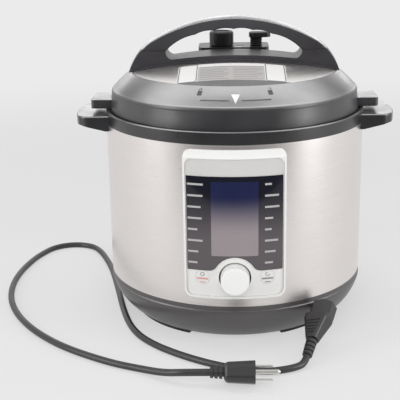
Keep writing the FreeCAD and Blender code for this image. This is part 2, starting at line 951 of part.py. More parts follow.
def power_board():
    """Circuit board on the tray's posts with its relay, transformer, capacitor and sockets."""
    left = min(x for x, y in board_posts()) - board_edge
    front = min(y for x, y in board_posts()) - board_edge
    top = board_level + board_thickness
    board = block(left, left + board_length + 2.0 * board_edge, front,
                  front + board_width + 2.0 * board_edge, board_level, top)
    parts = []
    for along, across, length, width, height in (relay, transformer, sensor_socket, panel_socket):
        x, y = left + along, front + across
        parts.append(block(x, x + length, y, y + width, top, top + height))
    parts.append(post(capacitor_radius, left + capacitor_along, front + capacitor_across, top,
                      top + capacitor_height))
    return join([board] + parts)


# Control panel

def panel_outline(margin, top_margin):
    """Front outline of the panel, drawn in by a margin at the sides and foot and another at the top."""
    half = panel_half_width - margin
    return rounded(-half, half, panel_bottom + margin, panel_top - top_margin, panel_corner - margin / 2.0)


def panel_bezel():
    """Curved frame on the shell with a bevelled top, a ledge behind the fascia and four board posts."""
    low, high = panel_bottom - overshoot, panel_top + overshoot
    frame = ring(shell_radius, panel_radius, low, high)
    frame = frame.common(extrude_front(panel_outline(0.0, 0.0), -panel_reach, 0.0))
    bevel_low = panel_top - bezel_top_bevel
    bevel_top = shell_radius + bezel_top_edge
    bevel = revolve([(panel_reach, bevel_low), (panel_radius, bevel_low), (bevel_top, panel_top),
                     (bevel_top, high), (panel_reach, high)])
    opening = extrude_front(panel_outline(bezel_side, bezel_top_bevel + fascia_top_gap), -panel_reach, 0.0)
    opening = opening.common(ring(fascia_back, panel_reach, low, high))
    ledge = panel_outline(bezel_side + fascia_ledge, bezel_top_bevel + fascia_ledge)
    frame = frame.cut(bevel).cut(opening).cut(extrude_front(ledge, -panel_reach, 0.0))
    x = display_half_width - panel_post_inset
    depth = math.sqrt((fascia_back - seat_gap) ** 2 - (x + panel_post_radius) ** 2)
    posts = [rod(panel_post_radius, (side * x, display_front, z), (side * x, -depth, z))
             for side in (-1, 1) for z in (panel_ledge_low, panel_ledge_high - panel_post_drop)]
    return join([frame] + posts)


def panel_fascia():
    """Curved plate with the dial's hole, two key holes and the display's opening."""
    plate = ring(fascia_back, fascia_radius, panel_bottom, panel_top)
    outline = panel_outline(bezel_side + seat_gap, bezel_top_bevel + fascia_top_gap + seat_gap)
    plate = plate.common(extrude_front(outline, -panel_reach, 0.0))
    display = rounded(-lcd_half_width, lcd_half_width, lcd_bottom, lcd_top, lcd_corner)
    holes = [extrude_front(display, -panel_reach, 0.0),
             rod(dial_radius + dial_hole_gap, (0, -panel_reach, dial_z), (0, 0, dial_z))]
    for side in (-1, 1):
        holes.append(rod(key_radius + key_hole_gap, key_point(side, panel_reach),
                         key_point(side, chamber_radius)))
    return cut(plate, holes)


def key_point(side, radius):
    """A point on a key's press axis."""
    return at_azimuth(radius, side * key_azimuth, dial_z)


def display_window():
    """Dark glossy pane in front of the fascia, arched over the dial."""
    half = panel_half_width - bezel_side - window_side_gap
    foot_z = window_bottom + window_foot_radius
    reach = window_arch_radius + window_foot_radius
    foot_x = math.sqrt(reach ** 2 - (foot_z - dial_z) ** 2)
    share = window_arch_radius / reach
    touch_x, touch_z = foot_x * share, dial_z + (foot_z - dial_z) * share
    bow = math.atan2(foot_x, foot_z - dial_z) / 2.0
    mid_x, mid_z = foot_x - window_foot_radius * math.sin(bow), foot_z - window_foot_radius * math.cos(bow)
    pane = ring(fascia_radius, window_radius, window_bottom, window_top)
    outline = [(-half, window_bottom), (-foot_x, window_bottom), ((-mid_x, mid_z), (-touch_x, touch_z)),
               ((0.0, dial_z + window_arch_radius), (touch_x, touch_z)),
               ((mid_x, mid_z), (foot_x, window_bottom)), (half, window_bottom), (half, window_top),
               (-half, window_top)]
    return pane.common(extrude_front(outline, -panel_reach, 0.0))


def lcd_module():
    """Display with its frame, on the display board."""
    half, low, high = lcd_half_width - lcd_gap, lcd_bottom + lcd_gap, lcd_top - lcd_gap
    front = display_front - lcd_thickness
    frame = block(-half, half, front, display_front, low, high)
    glass = block(-half + lcd_frame, half - lcd_frame, front - lcd_glass, front, low + lcd_frame,
                  high - lcd_frame)
    return join([frame, glass])


def display_board():
    """Board behind the panel with the two key switches."""
    board = block(-display_half_width, display_half_width, display_front, display_back,
                  panel_ledge_low - display_margin, panel_ledge_high + display_margin)
    half = key_switch_half
    switch = block(key_x - half, key_x + half, display_front - key_switch_height, display_front,
                   dial_z - half, dial_z + half)
    return join([board, switch, mirrored(switch)])


def panel_key(side):
    """A round key flush with the fascia, with a stem towards its switch."""
    cap = ring(fascia_back, fascia_radius, panel_bottom, window_top)
    cap = cap.common(rod(key_radius, key_point(side, panel_reach), key_point(side, chamber_radius)))
    stem = rod(key_stem_radius, key_point(side, fascia_back + weld),
               key_point(side, fascia_back - key_stem_length))
    return join([cap, stem])


def dial_rod(radius, near, far):
    """A cylinder on the dial's axis between two depths."""
    return rod(radius, (0, near, dial_z), (0, far, dial_z))


def dial_encoder():
    """Rotary encoder on the display board, bored for the push plunger."""
    body = block(-encoder_half, encoder_half, display_front - encoder_body, display_front,
                 dial_z - encoder_half, dial_z + encoder_half)
    neck = dial_rod(encoder_neck_radius, encoder_front, display_front - encoder_body + weld)
    bore = dial_rod(dial_shaft_radius + plunger_wall + bore_gap, encoder_front - overshoot,
                    display_front - encoder_floor)
    return join([body, neck]).cut(bore)


def dial_plunger():
    """Sleeve in the encoder's neck that the pushed dial moves."""
    front = encoder_front - plunger_proud
    sleeve = dial_rod(dial_shaft_radius + plunger_wall, front, plunger_back)
    return sleeve.cut(dial_rod(dial_shaft_radius + plunger_fit, front - overshoot, 0.0))


def dial_shaft():
    """Shaft from the encoder into the dial."""
    return dial_rod(dial_shaft_radius, dial_front + dial_cap, plunger_back)


def dial_knob():
    """Hollow round knob with a bored hub and a small edge round."""
    inside = dial_radius - dial_skirt_wall
    hub = dial_shaft_radius + dial_hub_wall
    hub_end = dial_depth - dial_hub_inset
    face_radius = dial_radius - dial_taper
    profile = [
        (0.0, 0.0), (face_radius - dial_edge, 0.0),
        quarter((face_radius - dial_edge, 0.0), (face_radius, 0.0), (face_radius, dial_edge)),
        (dial_radius, dial_depth), (inside, dial_depth), (inside, dial_face), (hub, dial_face),
        (hub, hub_end), (dial_shaft_radius, hub_end), (dial_shaft_radius, dial_cap), (0.0, dial_cap),
    ]
    face = face_of(profile, lambda p: Vec(p[0], dial_front + p[1], dial_z))
    return face.revolve(Vec(0, 0, dial_z), Vec(0, 1, 0), 360.0)


# Rear pieces

def clipped(half, low, high, clip):
    """A rectangle with its two upper corners clipped."""
    return [(-half, low), (half, low), (half, high - clip), (half - clip, high), (-half + clip, high),
            (-half, high - clip)]


def pin_places():
    """Places of the three mains pins from the inlet's centre."""
    return [(-pin_spacing, pin_low), (0.0, pin_high), (pin_spacing, pin_low)]


def power_inlet():
    """Three-pin mains inlet with two clipped corners and a flange on the boss."""
    half, tall = inlet_half_width, inlet_half_height
    body = block(-half, half, inlet_face - inlet_depth, inlet_face, inlet_z - tall, inlet_z + tall)
    flange_face = inlet_face + inlet_flange_thickness
    flange = extrude_front(rounded(-half - inlet_flange, half + inlet_flange, inlet_z - tall - inlet_flange,
                                   inlet_z + tall + inlet_flange, inlet_corner), inlet_face, flange_face)
    deep = tall - inlet_wall
    socket = clipped(half - inlet_wall, inlet_z - deep, inlet_z + deep, inlet_clip)
    return join([body, flange]).cut(extrude_front(socket, inlet_back, flange_face + overshoot))


def inlet_pins():
    """Three flat pins inside the inlet."""
    return Part.makeCompound([
        block(x - pin_half_width, x + pin_half_width, inlet_back, inlet_back + pin_length,
              inlet_z + z - pin_half_height, inlet_z + z + pin_half_height) for x, z in pin_places()])


def condensation_cup():
    """Open cup with two grooved ears that slide on the bracket's tabs."""
    far, low, half = cup_near + cup_depth, cup_top - cup_height, cup_half_width
    body = extrude_plan(rounded(-half, half, cup_near, far, cup_corner), low, cup_top)
    inside = half - cup_wall
    hollow = rounded(-inside, inside, cup_near + cup_wall, far - cup_wall, cup_corner - cup_wall)
    cup = body.cut(extrude_plan(hollow, low + cup_wall, cup_top + overshoot))
    ear_near = cup_near + ear_wall
    ear = block(half, half + ear_width, ear_near, ear_near + ear_length, tab_low - ear_margin,
                tab_high + ear_margin)
    slot = block(half + ear_wall - slide_gap, half + ear_wall + tab_width + slide_gap, cup_near,
                 cup_near + tab_length + slide_gap, tab_low - slide_gap, tab_high + slide_gap)
    ear = ear.cut(slot)
    return join([cup, ear, mirrored(ear)])


def cup_bracket():
    """Plate on the shell's back with two tabs for the cup's ears."""
    half = cup_half_width + ear_width
    low, high = tab_low - cup_plate_margin, tab_high + cup_plate_margin
    plate = ring(shell_radius, shell_radius + cup_plate_thickness, low, high)
    outline = rounded(-half, half, low, high, cup_plate_corner)
    plate = plate.common(extrude_front(outline, 0.0, shell_radius + overshoot))
    left = cup_half_width + ear_wall
    tab = block(left, left + tab_width, shell_radius - tab_root, cup_near + tab_length, tab_low, tab_high)
    tab = tab.cut(ring(0.0, shell_radius, low, high))
    return join([plate, tab, mirrored(tab)])


# Lid

def dome_height(radius):
    """Height of the steel dome's outer face at a radius."""
    return dome_top - dome_rise * (radius / lid_opening_radius) ** 2


def dome_bow(radius, offset):
    """The step of an outline up along the dome, raised by offset, from a radius to the axis."""
    return Bow((radius / 2.0, dome_top + offset), (0.0, dome_top + offset))


def dome_fall(radius, offset):
    """The step of an outline down along the dome, raised by offset, from the axis to a radius."""
    return Bow((radius / 2.0, dome_top + offset), (radius, dome_height(radius) + offset))


def dome_layer(inner, outer, thickness):
    """A ring that lies on the dome between two radii."""
    middle = (inner + outer) / 2.0
    pull = dome_top - dome_rise * inner * outer / lid_opening_radius ** 2
    inner_z, outer_z = dome_height(inner), dome_height(outer)
    return revolve([(inner, inner_z), Bow((middle, pull), (outer, outer_z)), (outer, outer_z + thickness),
                    Bow((middle, pull + thickness), (inner, inner_z + thickness))])


def lid_outside():
    """Outline of the lid's outside, from the foot of its wall over the crease to the dome's edge."""
    wall_radius = lid_radius - cover_draft
    lip_radius = lid_opening_radius + lip_width
    turn = ((wall_radius + crease_radius) / 2.0 + crease_bulge, (wall_top + crease_z) / 2.0 + crease_bulge)
    slope = ((crease_radius + lip_radius) / 2.0 + slope_bulge, (crease_z + lip_z) / 2.0 + slope_bulge)
    return [(lid_radius, cover_bottom), (lid_radius, cover_bottom + cover_foot), (wall_radius, wall_top),
            (turn, (crease_radius, crease_z)), (slope, (lip_radius, lip_z)), (lid_opening_radius, lip_z)]


def under_lid():
    """Everything inside the closed lid's outside, down to its foot."""
    edge = lid_opening_radius
    return revolve([(0.0, cover_bottom)] + lid_outside() + [(edge, dome_height(edge)), dome_bow(edge, 0.0)])


def lid_holes(low, high, margin):
    """Holes for the steam pipe, the release button's stem and the float."""
    return [post(steam_pipe_radius + margin, valve_x, release_y, low, high),
            post(button_stem_radius + margin, button_x, release_y, low, high),
            post(float_radius + margin, float_x, float_y, low, high)]


def screw_bores():
    """Bores for the two lid screws, from the lid plate up into the handle base."""
    end = dome_height(lid_screw_x) + lid_screw_grip + weld
    return [post(screw_radius + bore_gap, x, 0.0, plate_seat, end) for x in (-lid_screw_x, lid_screw_x)]


def lid_cover():
    """Moulded lid ring and cap with side fins, screw posts and a front tongue over the dome's edge."""
    edge = lid_opening_radius
    cap = -dome_thickness
    under = cap - cap_wall
    plate_top_clear = plate_seat + lid_plate_thickness + slide_gap
    body = revolve(lid_outside() + [
        (edge, dome_height(edge) + cap), dome_bow(edge, cap), (0.0, dome_top + under),
        dome_fall(edge - cap_edge, under), (crease_radius - slope_wall, crease_z - slope_wall / 2.0),
        (skirt_outer + turn_gap, plate_top_clear), (lid_inner, cover_bottom + cover_foot),
        (lid_inner, cover_bottom),
    ])
    fin_low = rim_top + fin_lift
    fin_high = fin_low + fin_thickness
    outline = rounded(lid_inner - fin_root, lid_radius + fin_reach, -fin_half_width, fin_half_width,
                      fin_corner)
    fin = extrude_plan(outline, fin_low, fin_high).cut(ring(0.0, lid_inner, rim_top, fin_high + overshoot))
    posts = [post(screw_radius + lid_post_wall, x, 0.0, plate_crown + lid_plate_thickness,
                  dome_height(lid_screw_x) + cap - weld) for x in (-lid_screw_x, lid_screw_x)]
    tongue = dome_layer(tongue_distance - weld, edge + lip_width, tongue_thickness)
    tongue = tongue.common(block(-edge, edge, -lid_radius, -tongue_distance, rim_top, dome_top))
    cover = join([body, fin, mirrored(fin), tongue] + posts)
    return cut(cover, lid_holes(shell_top, dome_top, hole_margin) + screw_bores())


def lid_dome():
    """Polished steel disc let into the cover."""
    radius = lid_opening_radius - seat_gap
    disc = revolve([(0.0, dome_top - dome_thickness), dome_fall(radius, -dome_thickness),
                    (radius, dome_height(radius)), dome_bow(radius, 0.0)])
    return cut(disc, lid_holes(shell_top, dome_top, hole_margin) + screw_bores())


def lid_plate():
    """Pressed steel lid lining with a skirt whose inward lugs turn under the chamber's lugs."""
    thick = lid_plate_thickness
    seat = seal_inner - plate_step_gap
    step = lid_plate_rise / 2.0
    body = revolve([
        (0.0, plate_crown), (seat - step, plate_crown), (seat, plate_seat), (skirt_inner, plate_seat),
        (skirt_inner, skirt_bottom), (skirt_outer, skirt_bottom), (skirt_outer, plate_seat + thick),
        (seat + thick / 2.0, plate_seat + thick), (seat - step + thick / 2.0, plate_crown + thick),
        (0.0, plate_crown + thick),
    ])
    pitch = 360.0 / lug_count
    profile = box_profile(lid_lug_inner, skirt_inner + weld, skirt_bottom, skirt_bottom + lid_lug_thickness)
    lugs = [revolve(profile, pitch * index, lug_half_angle) for index in range(lug_count)]
    return cut(join([body] + lugs), lid_holes(plate_seat, dome_top, bore_gap) + screw_bores())


def sealing_ring():
    """Silicone ring between the pot's rim and the lid plate, with a hollow for the rack's wire."""
    return revolve([
        (seal_inner + seal_chamfer, seal_bottom), (seal_outer, seal_bottom), (seal_outer, seal_top),
        (seal_inner, seal_top), (seal_inner, seal_middle + seal_hollow_half),
        (seal_inner + seal_hollow, seal_middle), (seal_inner, seal_middle - seal_hollow_half),
        (seal_inner, seal_bottom + seal_chamfer),
    ])


def ring_rack():
    """Wire ring that holds the seal, on clips under the lid plate."""
    half = rack_wire / 2.0
    radius = seal_inner - half - rack_gap
    section = []
    for side in range(rack_sides):
        turn = 2.0 * math.pi * (side + 0.5) / rack_sides
        section.append((radius + half * math.cos(turn), seal_middle + half * math.sin(turn)))
    pitch = 360.0 / rack_clip_count
    clip = box_profile(radius - rack_clip_half_width, radius + rack_clip_half_width, seal_middle,
                       plate_seat)
    clips = [revolve(clip, pitch * index, rack_clip_half_angle) for index in range(rack_clip_count)]
    return join([revolve(section)] + clips)


def grip_lens(length, depth, end_depth, z):
    """Plan wire of the lid handle: bowed sides and square ends."""
    return Part.Wire(edges_through([
        (-length, -end_depth), ((0.0, -depth), (length, -end_depth)), (length, end_depth),
        ((0.0, depth), (-length, end_depth))], lambda p: Vec(p[0], p[1], z)))


def grip_arch(y, drop):
    """Front-view wire of the lid handle's arch at a depth, drawn in by a drop."""
    top = dome_top + grip_rise - drop
    shoulder_z = dome_top + grip_rise - grip_shoulder_drop - drop * grip_side_share
    shoulder_x = grip_shoulder_x - drop * grip_side_share
    foot_x = grip_half_length - drop * grip_side_share
    foot_z = dome_edge - grip_foot
    hip_x = (shoulder_x + foot_x) / 2.0 + grip_hip_out
    hip_z = (shoulder_z + foot_z) / 2.0 + grip_hip_up
    return Part.Wire(edges_through([
        (-foot_x, foot_z), ((-hip_x, hip_z), (-shoulder_x, shoulder_z)),
        ((0.0, top), (shoulder_x, shoulder_z)), ((hip_x, hip_z), (foot_x, foot_z)),
    ], lambda p: Vec(p[0], y, p[1])))


def grip_window():
    """Finger opening under the arch, with scallops along its upper edge."""
    sill = dome_top + window_sill_rise
    end = window_half_length
    corner_x, corner_z = end - window_corner, sill - window_corner_drop
    round_x, round_z = end - window_corner_round, sill - window_corner_round / 2.0
    cheek_x, cheek_z = end - window_cheek_run, sill + window_cheek_top
    end_z = sill + window_cheek_rise
    reach = scallop_pitch * scallop_count / 2.0
    crest = dome_top + window_rise
    lift = [crest - window_crest_fall * (2.0 * step / scallop_count - 1.0) ** 2
            for step in range(scallop_count + 1)]
    outline = [(-corner_x, corner_z), ((0.0, sill), (corner_x, corner_z)),
               ((round_x, round_z), (end, end_z)), ((cheek_x, cheek_z), (reach, lift[-1]))]
    for step in range(scallop_count, 0, -1):
        left = -reach + (step - 1) * scallop_pitch
        crown = (left + scallop_pitch / 2.0, (lift[step] + lift[step - 1]) / 2.0 + scallop_depth)
        outline.append((crown, (left, lift[step - 1])))
    outline += [((-cheek_x, cheek_z), (-end, end_z)), ((-round_x, round_z), (-corner_x, corner_z))]
    return extrude_front(outline, -lid_radius, lid_radius)


def whole_grip():
    """Arched handle above the dome: crowned arch, bowed and tapered sides, finger opening."""
    side = grip_base_depth + plinth_ledge
    arch = Part.makeLoft([grip_arch(-side, grip_crown), grip_arch(0.0, 0.0), grip_arch(side, grip_crown)],
                         True)
    length = grip_half_length + grip_end_margin
    top = dome_top + grip_rise + grip_end_margin
    lens = Part.makeLoft([grip_lens(length, grip_base_depth, grip_end_depth, dome_edge - grip_foot),
                          grip_lens(length, grip_depth, grip_top_end_depth, top)], True, True)
    return arch.common(lens).cut(grip_window())


def handle_split():
    """The handle's upper grip and its lower base, parted at the seam and seated on the lid."""
    seam = dome_top + grip_seam_rise
    whole = whole_grip()
    reach = lid_radius
    upper = whole.common(block(-reach, reach, -reach, reach, seam, dome_top + grip_rise + overshoot))
    lower = whole.common(block(-reach, reach, -reach, reach, shell_top, seam))
    plan = Part.Face(grip_lens(grip_half_length + plinth_end_ledge, grip_base_depth + plinth_ledge,
                               grip_end_depth + plinth_ledge, dome_edge - grip_foot))
    edge = lid_opening_radius
    ledge = revolve([(0.0, dome_edge - grip_foot), (edge, dome_edge - grip_foot),
                     (edge, dome_height(edge) + plinth_height), dome_bow(edge, plinth_height)])
    plinth = plan.extrude(Vec(0, 0, seam - dome_edge + grip_foot)).common(ledge)
    base = join([lower, plinth]).cut(under_lid())
    return upper, cut(base, screw_bores())


def release_platform():
    """Raised pad behind the handle with collars for the valve, button and float."""
    half = platform_half_width
    outline = rounded(-half, half, platform_front, platform_front + platform_depth, platform_corner)
    pad = extrude_plan(outline, dome_edge, platform_top).cut(under_lid())
    head = post(float_head_radius + slide_gap, float_x, float_y, float_rest, platform_top + overshoot)
    return cut(pad, lid_holes(dome_edge, platform_top + overshoot, slide_gap) + [head])


def steam_pipe():
    """Pipe from under the lid plate to the steam valve, with a flange on the plate."""
    low = plate_crown - steam_pipe_drop
    seat = plate_crown + lid_plate_thickness
    pipe = join([post(steam_pipe_radius, valve_x, release_y, low, pipe_top),
                 post(steam_pipe_radius + steam_flange_width, valve_x, release_y, seat,
                      seat + steam_flange_thickness)])
    return pipe.cut(post(steam_pipe_bore, valve_x, release_y, low - overshoot, pipe_top + overshoot))


def steam_valve():
    """Weighted cap over the steam pipe with finger flutes near its top."""
    radius, top = valve_radius, valve_low + valve_height
    lip = radius - valve_edge - valve_lip
    cap = revolve([(0.0, valve_low), (radius - valve_foot, valve_low), (radius, valve_low + valve_foot),
                   (radius, top - valve_edge), (radius - valve_edge, top), (lip + valve_dish / 2.0, top),
                   (lip, top - valve_dish), (0.0, top - valve_dish)])
    flutes = []
    for index in range(valve_flutes):
        x, y, z = at_azimuth(radius + flute_out, 360.0 * index / valve_flutes, valve_low + flute_lift)
        flutes.append(post(flute_radius, x, y, z, top + overshoot))
    bore = post(steam_pipe_radius + slide_gap, 0.0, 0.0, valve_low - overshoot, pipe_top + slide_gap)
    cap = cut(cap, flutes + [bore])
    cap.translate(Vec(valve_x, release_y, 0))
    return cap


def release_button():
    """Push cap with a paddle to one side, on a stem through the platform."""
    round_end = button_radius
    slim = round_end * button_slim_share
    tip = button_paddle
    outline = [(0.0, -round_end), (tip - slim, -slim), ((tip, 0.0), (tip - slim, slim)), (0.0, round_end),
               ((-round_end, 0.0), (0.0, -round_end))]
    top = button_low + button_thickness
    cap = extrude_plan(outline, button_low, top)
    cap = cap.makeFillet(button_edge, [edge for edge in cap.Edges if edge.BoundBox.ZMin > top - seat_gap])
    stem = post(button_stem_radius, 0.0, 0.0, platform_top - button_stem_drop, button_low + weld)
    button = join([cap, stem])
    button.translate(Vec(button_x, release_y, 0))
    return button


def button_bellows():
    """Ribbed silicone sleeve between the platform and the release button."""
    step = bellows_height / bellows_ribs
    inner = button_stem_radius + slide_gap
    waist = bellows_radius - bellows_fold
    outline = [(inner, platform_top), (waist, platform_top)]
    for rib in range(bellows_ribs):
        base = platform_top + rib * step
        outline += [(bellows_radius, base + step / 2.0), (waist, base + step)]
    outline.append((inner, platform_top + bellows_height))
    sleeve = revolve(outline)
    sleeve.translate(Vec(button_x, release_y, 0))
    return sleeve


def float_valve():
    """Pin that rises through the platform when the pot is under pressure."""
    head_low = float_rest + slide_gap
    head = post(float_head_radius, float_x, float_y, head_low, head_low + float_head_height)
    return join([head, post(float_radius, float_x, float_y, float_low, head_low + weld)])


def float_seal():
    """Silicone cap on the float's lower end."""
    return post(float_radius + float_seal_width, float_x, float_y, float_low - float_seal_height, float_low)


def anti_block_shield():
    """Slotted steel cap over the steam pipe's inlet."""
    low = plate_crown - shield_height
    inside, chamfer = shield_radius - shield_wall, shield_chamfer
    cap = revolve([(0.0, low), (shield_radius - chamfer, low), (shield_radius, low + chamfer),
                   (shield_radius, plate_crown), (inside, plate_crown), (inside, low + chamfer),
                   (inside - chamfer + shield_wall, low + shield_wall), (0.0, low + shield_wall)])
    slots = []
    for index in range(shield_slots // 2):
        slot = block(-shield_radius - overshoot, shield_radius + overshoot, -shield_slot_width / 2.0,
                     shield_slot_width / 2.0, low + shield_slot_lift, plate_crown - shield_slot_drop)
        slot.rotate(ORIGIN, AXIS, 360.0 * index / shield_slots)
        slots.append(slot)
    cap = cut(cap, slots)
    cap.translate(Vec(valve_x, release_y, 0))
    return cap


def lid_screws():
    """Screws that hold the lid plate, cover and handle base together."""
    return Part.makeCompound([
        join([post(screw_head_radius, x, 0.0, plate_crown - screw_head_height, plate_crown),
              post(screw_radius, x, 0.0, plate_crown, dome_height(lid_screw_x) + lid_screw_grip)])
        for x in (-lid_screw_x, lid_screw_x)])


# Mains lead

def power_cord():
    """Round cord along the route, with its length and tightest bend printed."""
    points = [Vec(*point) for point in cord_route]
    edges, radii = rounded_path(points)
    solid = tube(points, edges, cord_diameter)
    length = sum(edge.Length for edge in edges)
    fill = solid.Volume / (math.pi * cord_rest ** 2 * length)
    print("cord length", round(length), "least bend", round(min(radii)), "volume ratio", round(fill, 4))
    return solid


def ringed_relief(length, tip_radius, root_radius, rings):
    """Strain relief along +X from its tip at the origin: rings on a core, parted by open grooves."""
    core = cord_rest + relief_wall
    step = length / rings
    outline = [(0.0, 0.0), (0.0, tip_radius)]
    for ring_count in range(rings):
        radius = tip_radius + (root_radius - tip_radius) * (ring_count + 1) / rings
        low, high = step * (ring_count + relief_ring_share), step * (ring_count + relief_groove_share)
        outline += [(low, radius), (low, core), (high, core), (high, radius)]
    outline += [(length, root_radius), (length, 0.0)]
    return face_of(outline, lambda p: Vec(p[0], p[1], 0)).revolve(ORIGIN, Vec(1, 0, 0), 360.0)


def section_wire(x, width, thickness, corner):
    """A rounded rectangle across +X."""
    outline = rounded(-width / 2.0, width / 2.0, -thickness / 2.0, thickness / 2.0, corner)
    return Part.Wire(edges_through(outline, lambda p: Vec(x, p[0], p[1])))


def place_plug(solid):
    """Move a plug piece from its own axis to where it lies on the floor."""
    solid = solid.copy()
    solid.rotate(ORIGIN, Vec(1, 0, 0), plug_roll)
    solid.translate(Vec(*cord_route[0]))
    return solid


def plug_section(x, share):
    """The plug's section at a place along it, as a share of its full size."""
    return section_wire(x, plug_thickness * share, plug_width * share, plug_corner * share)


def plug_body():
    """Moulded mains plug that widens to its face, with a rounded shoulder where its cord enters."""
    start, end = plug_relief_length, plug_relief_length + plug_length
    body = Part.makeLoft([plug_section(start, plug_tail_share), plug_section(end, 1.0)], True, True)
    rear = [edge for edge in body.Edges if edge.BoundBox.XMax < start + pick_margin]
    return place_plug(body.makeFillet(plug_shoulder, rear))


def plug_blades():
    """Two flat blades and the round earth pin, at the corners of a triangle about the plug's axis."""
    face = plug_relief_length + plug_length
    blade_y, pin_y = ground_offset / 3.0, -ground_offset * 2.0 / 3.0
    blades = [block(face, face + blade_length, blade_y - blade_half_width, blade_y + blade_half_width,
                    z - blade_half_thickness, z + blade_half_thickness)
              for z in (-blade_spacing / 2.0, blade_spacing / 2.0)]
    nose_start = face + ground_length - ground_nose
    pin = rod(ground_radius, (face, pin_y, 0), (nose_start, pin_y, 0))
    nose = Part.makeCone(ground_radius, ground_radius / 2.0, ground_nose, Vec(nose_start, pin_y, 0),
                         Vec(1, 0, 0))
    return Part.makeCompound([place_plug(solid) for solid in blades + [join([pin, nose])]])


def plug_relief():
    """Strain relief between the cord and the plug."""
    return place_plug(ringed_relief(plug_relief_length, plug_relief_tip, plug_relief_root, plug_relief_rings))


def place_connector(solid):
    """Move a connector piece from its own axis to where it leans on the cooker."""
    start, tip = Vec(*cord_route[-1]), Vec(*connector_tip)
    along = tip - start
    along.normalize()
    across = AXIS.cross(along)
    across.normalize()
    upward = along.cross(across)
    matrix = FreeCAD.Matrix(along.x, across.x, upward.x, start.x, along.y, across.y, upward.y, start.y,
                            along.z, across.z, upward.z, start.z, 0, 0, 0, 1)
    solid = solid.copy()
    solid.rotate(ORIGIN, Vec(1, 0, 0), connector_roll)
    return solid.transformed(matrix)


def connector_body():
    """Moulded appliance connector: slotted nose with clipped corners, grooved grip, taper to the relief."""
    start = connector_relief_length
    end = start + connector_length
    grip_end = end - connector_nose
    shoulder = grip_end - connector_shoulder
    wide = connector_width + 2.0 * connector_grip_step
    thick = connector_thickness + 2.0 * connector_grip_step
    broad = [section_wire(x, wide, thick, connector_corner) for x in (shoulder, grip_end)]
    taper = Part.makeLoft([section_wire(start, connector_tail, connector_tail, connector_corner), broad[0]],
                          True, True)
    tall = connector_thickness / 2.0
    nose = face_of(clipped(connector_width / 2.0, -tall, tall, connector_clip),
                   lambda p: Vec(grip_end, p[0], p[1])).extrude(Vec(connector_nose, 0, 0))
    wide_slot, tall_slot = pin_half_width + seat_gap, pin_half_height + seat_gap
    slots = [block(end - connector_slot_depth, end + overshoot, y - wide_slot, y + wide_slot, z - tall_slot,
                   z + tall_slot) for y, z in pin_places()]
    for groove in range(grip_groove_count):
        x = start + grip_groove_start + groove * grip_groove_pitch
        grown = (x - start) / (shoulder - start)
        half = (connector_tail + (wide - connector_tail) * grown) / 2.0 - grip_groove_margin
        top = (connector_tail + (thick - connector_tail) * grown) / 2.0
        bar = block(x, x + grip_groove_width, -half, half, top - grip_groove_depth, top + overshoot)
        slots += [bar, bar.mirror(ORIGIN, AXIS)]
    return place_connector(cut(join([taper, Part.makeLoft(broad, True, True), nose]), slots))


def connector_relief():
    """Strain relief between the cord and the connector."""
    return place_connector(ringed_relief(connector_relief_length, connector_relief_tip, connector_relief_root,
                                         connector_relief_rings))


def build():
    """Every node's solid by name."""
    grip, base = handle_split()
    return {
        "base_tray": base_tray(), "feet": feet(), "base_screws": base_screws(),
        "outer_shell": outer_shell(), "upper_rim": upper_rim(), "outer_pot": outer_pot(),
        "inner_pot": inner_pot(), "heating_plate": heating_plate(), "sensor_cap": sensor_cap(),
        "sensor_spring": sensor_spring(), "sensor_bracket": sensor_bracket(),
        "thermal_fuse": thermal_fuse(), "pressure_switch": pressure_switch(),
        "power_board": power_board(), "panel_bezel": panel_bezel(), "panel_fascia": panel_fascia(),
        "display_window": display_window(), "lcd_module": lcd_module(),
        "display_board": display_board(), "cancel_key": panel_key(-1), "start_key": panel_key(1),
        "dial_encoder": dial_encoder(), "dial_plunger": dial_plunger(), "dial_shaft": dial_shaft(),
        "dial_knob": dial_knob(), "power_inlet": power_inlet(), "inlet_pins": inlet_pins(),
        "condensation_cup": condensation_cup(), "cup_bracket": cup_bracket(), "lid_cover": lid_cover(),
        "lid_dome": lid_dome(), "lid_plate": lid_plate(), "sealing_ring": sealing_ring(),
        "ring_rack": ring_rack(), "lid_handle": grip, "handle_base": base,
        "release_platform": release_platform(), "steam_pipe": steam_pipe(),
        "steam_valve": steam_valve(), "release_button": release_button(),
        "button_bellows": button_bellows(), "float_valve": float_valve(), "float_seal": float_seal(),
        "anti_block_shield": anti_block_shield(), "lid_screws": lid_screws(),
        "power_cord": power_cord(), "plug_body": plug_body(), "plug_blades": plug_blades(),
        "plug_relief": plug_relief(), "connector_body": connector_body(),
        "connector_relief": connector_relief(),
    }


os.makedirs("parts", exist_ok=True)
for name, shape in build().items():
    shape.exportStep("parts/" + name + ".step")
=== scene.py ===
"""Looks of the electric pressure cooker: finishes, edges, print, soft parts, lead and stage."""
import json
import logging
import math
from dataclasses import dataclass, field
from enum import Enum
from typing import Sequence

import bmesh
import bpy
from mathutils import Matrix, Vector
from mathutils.bvhtree import BVHTree

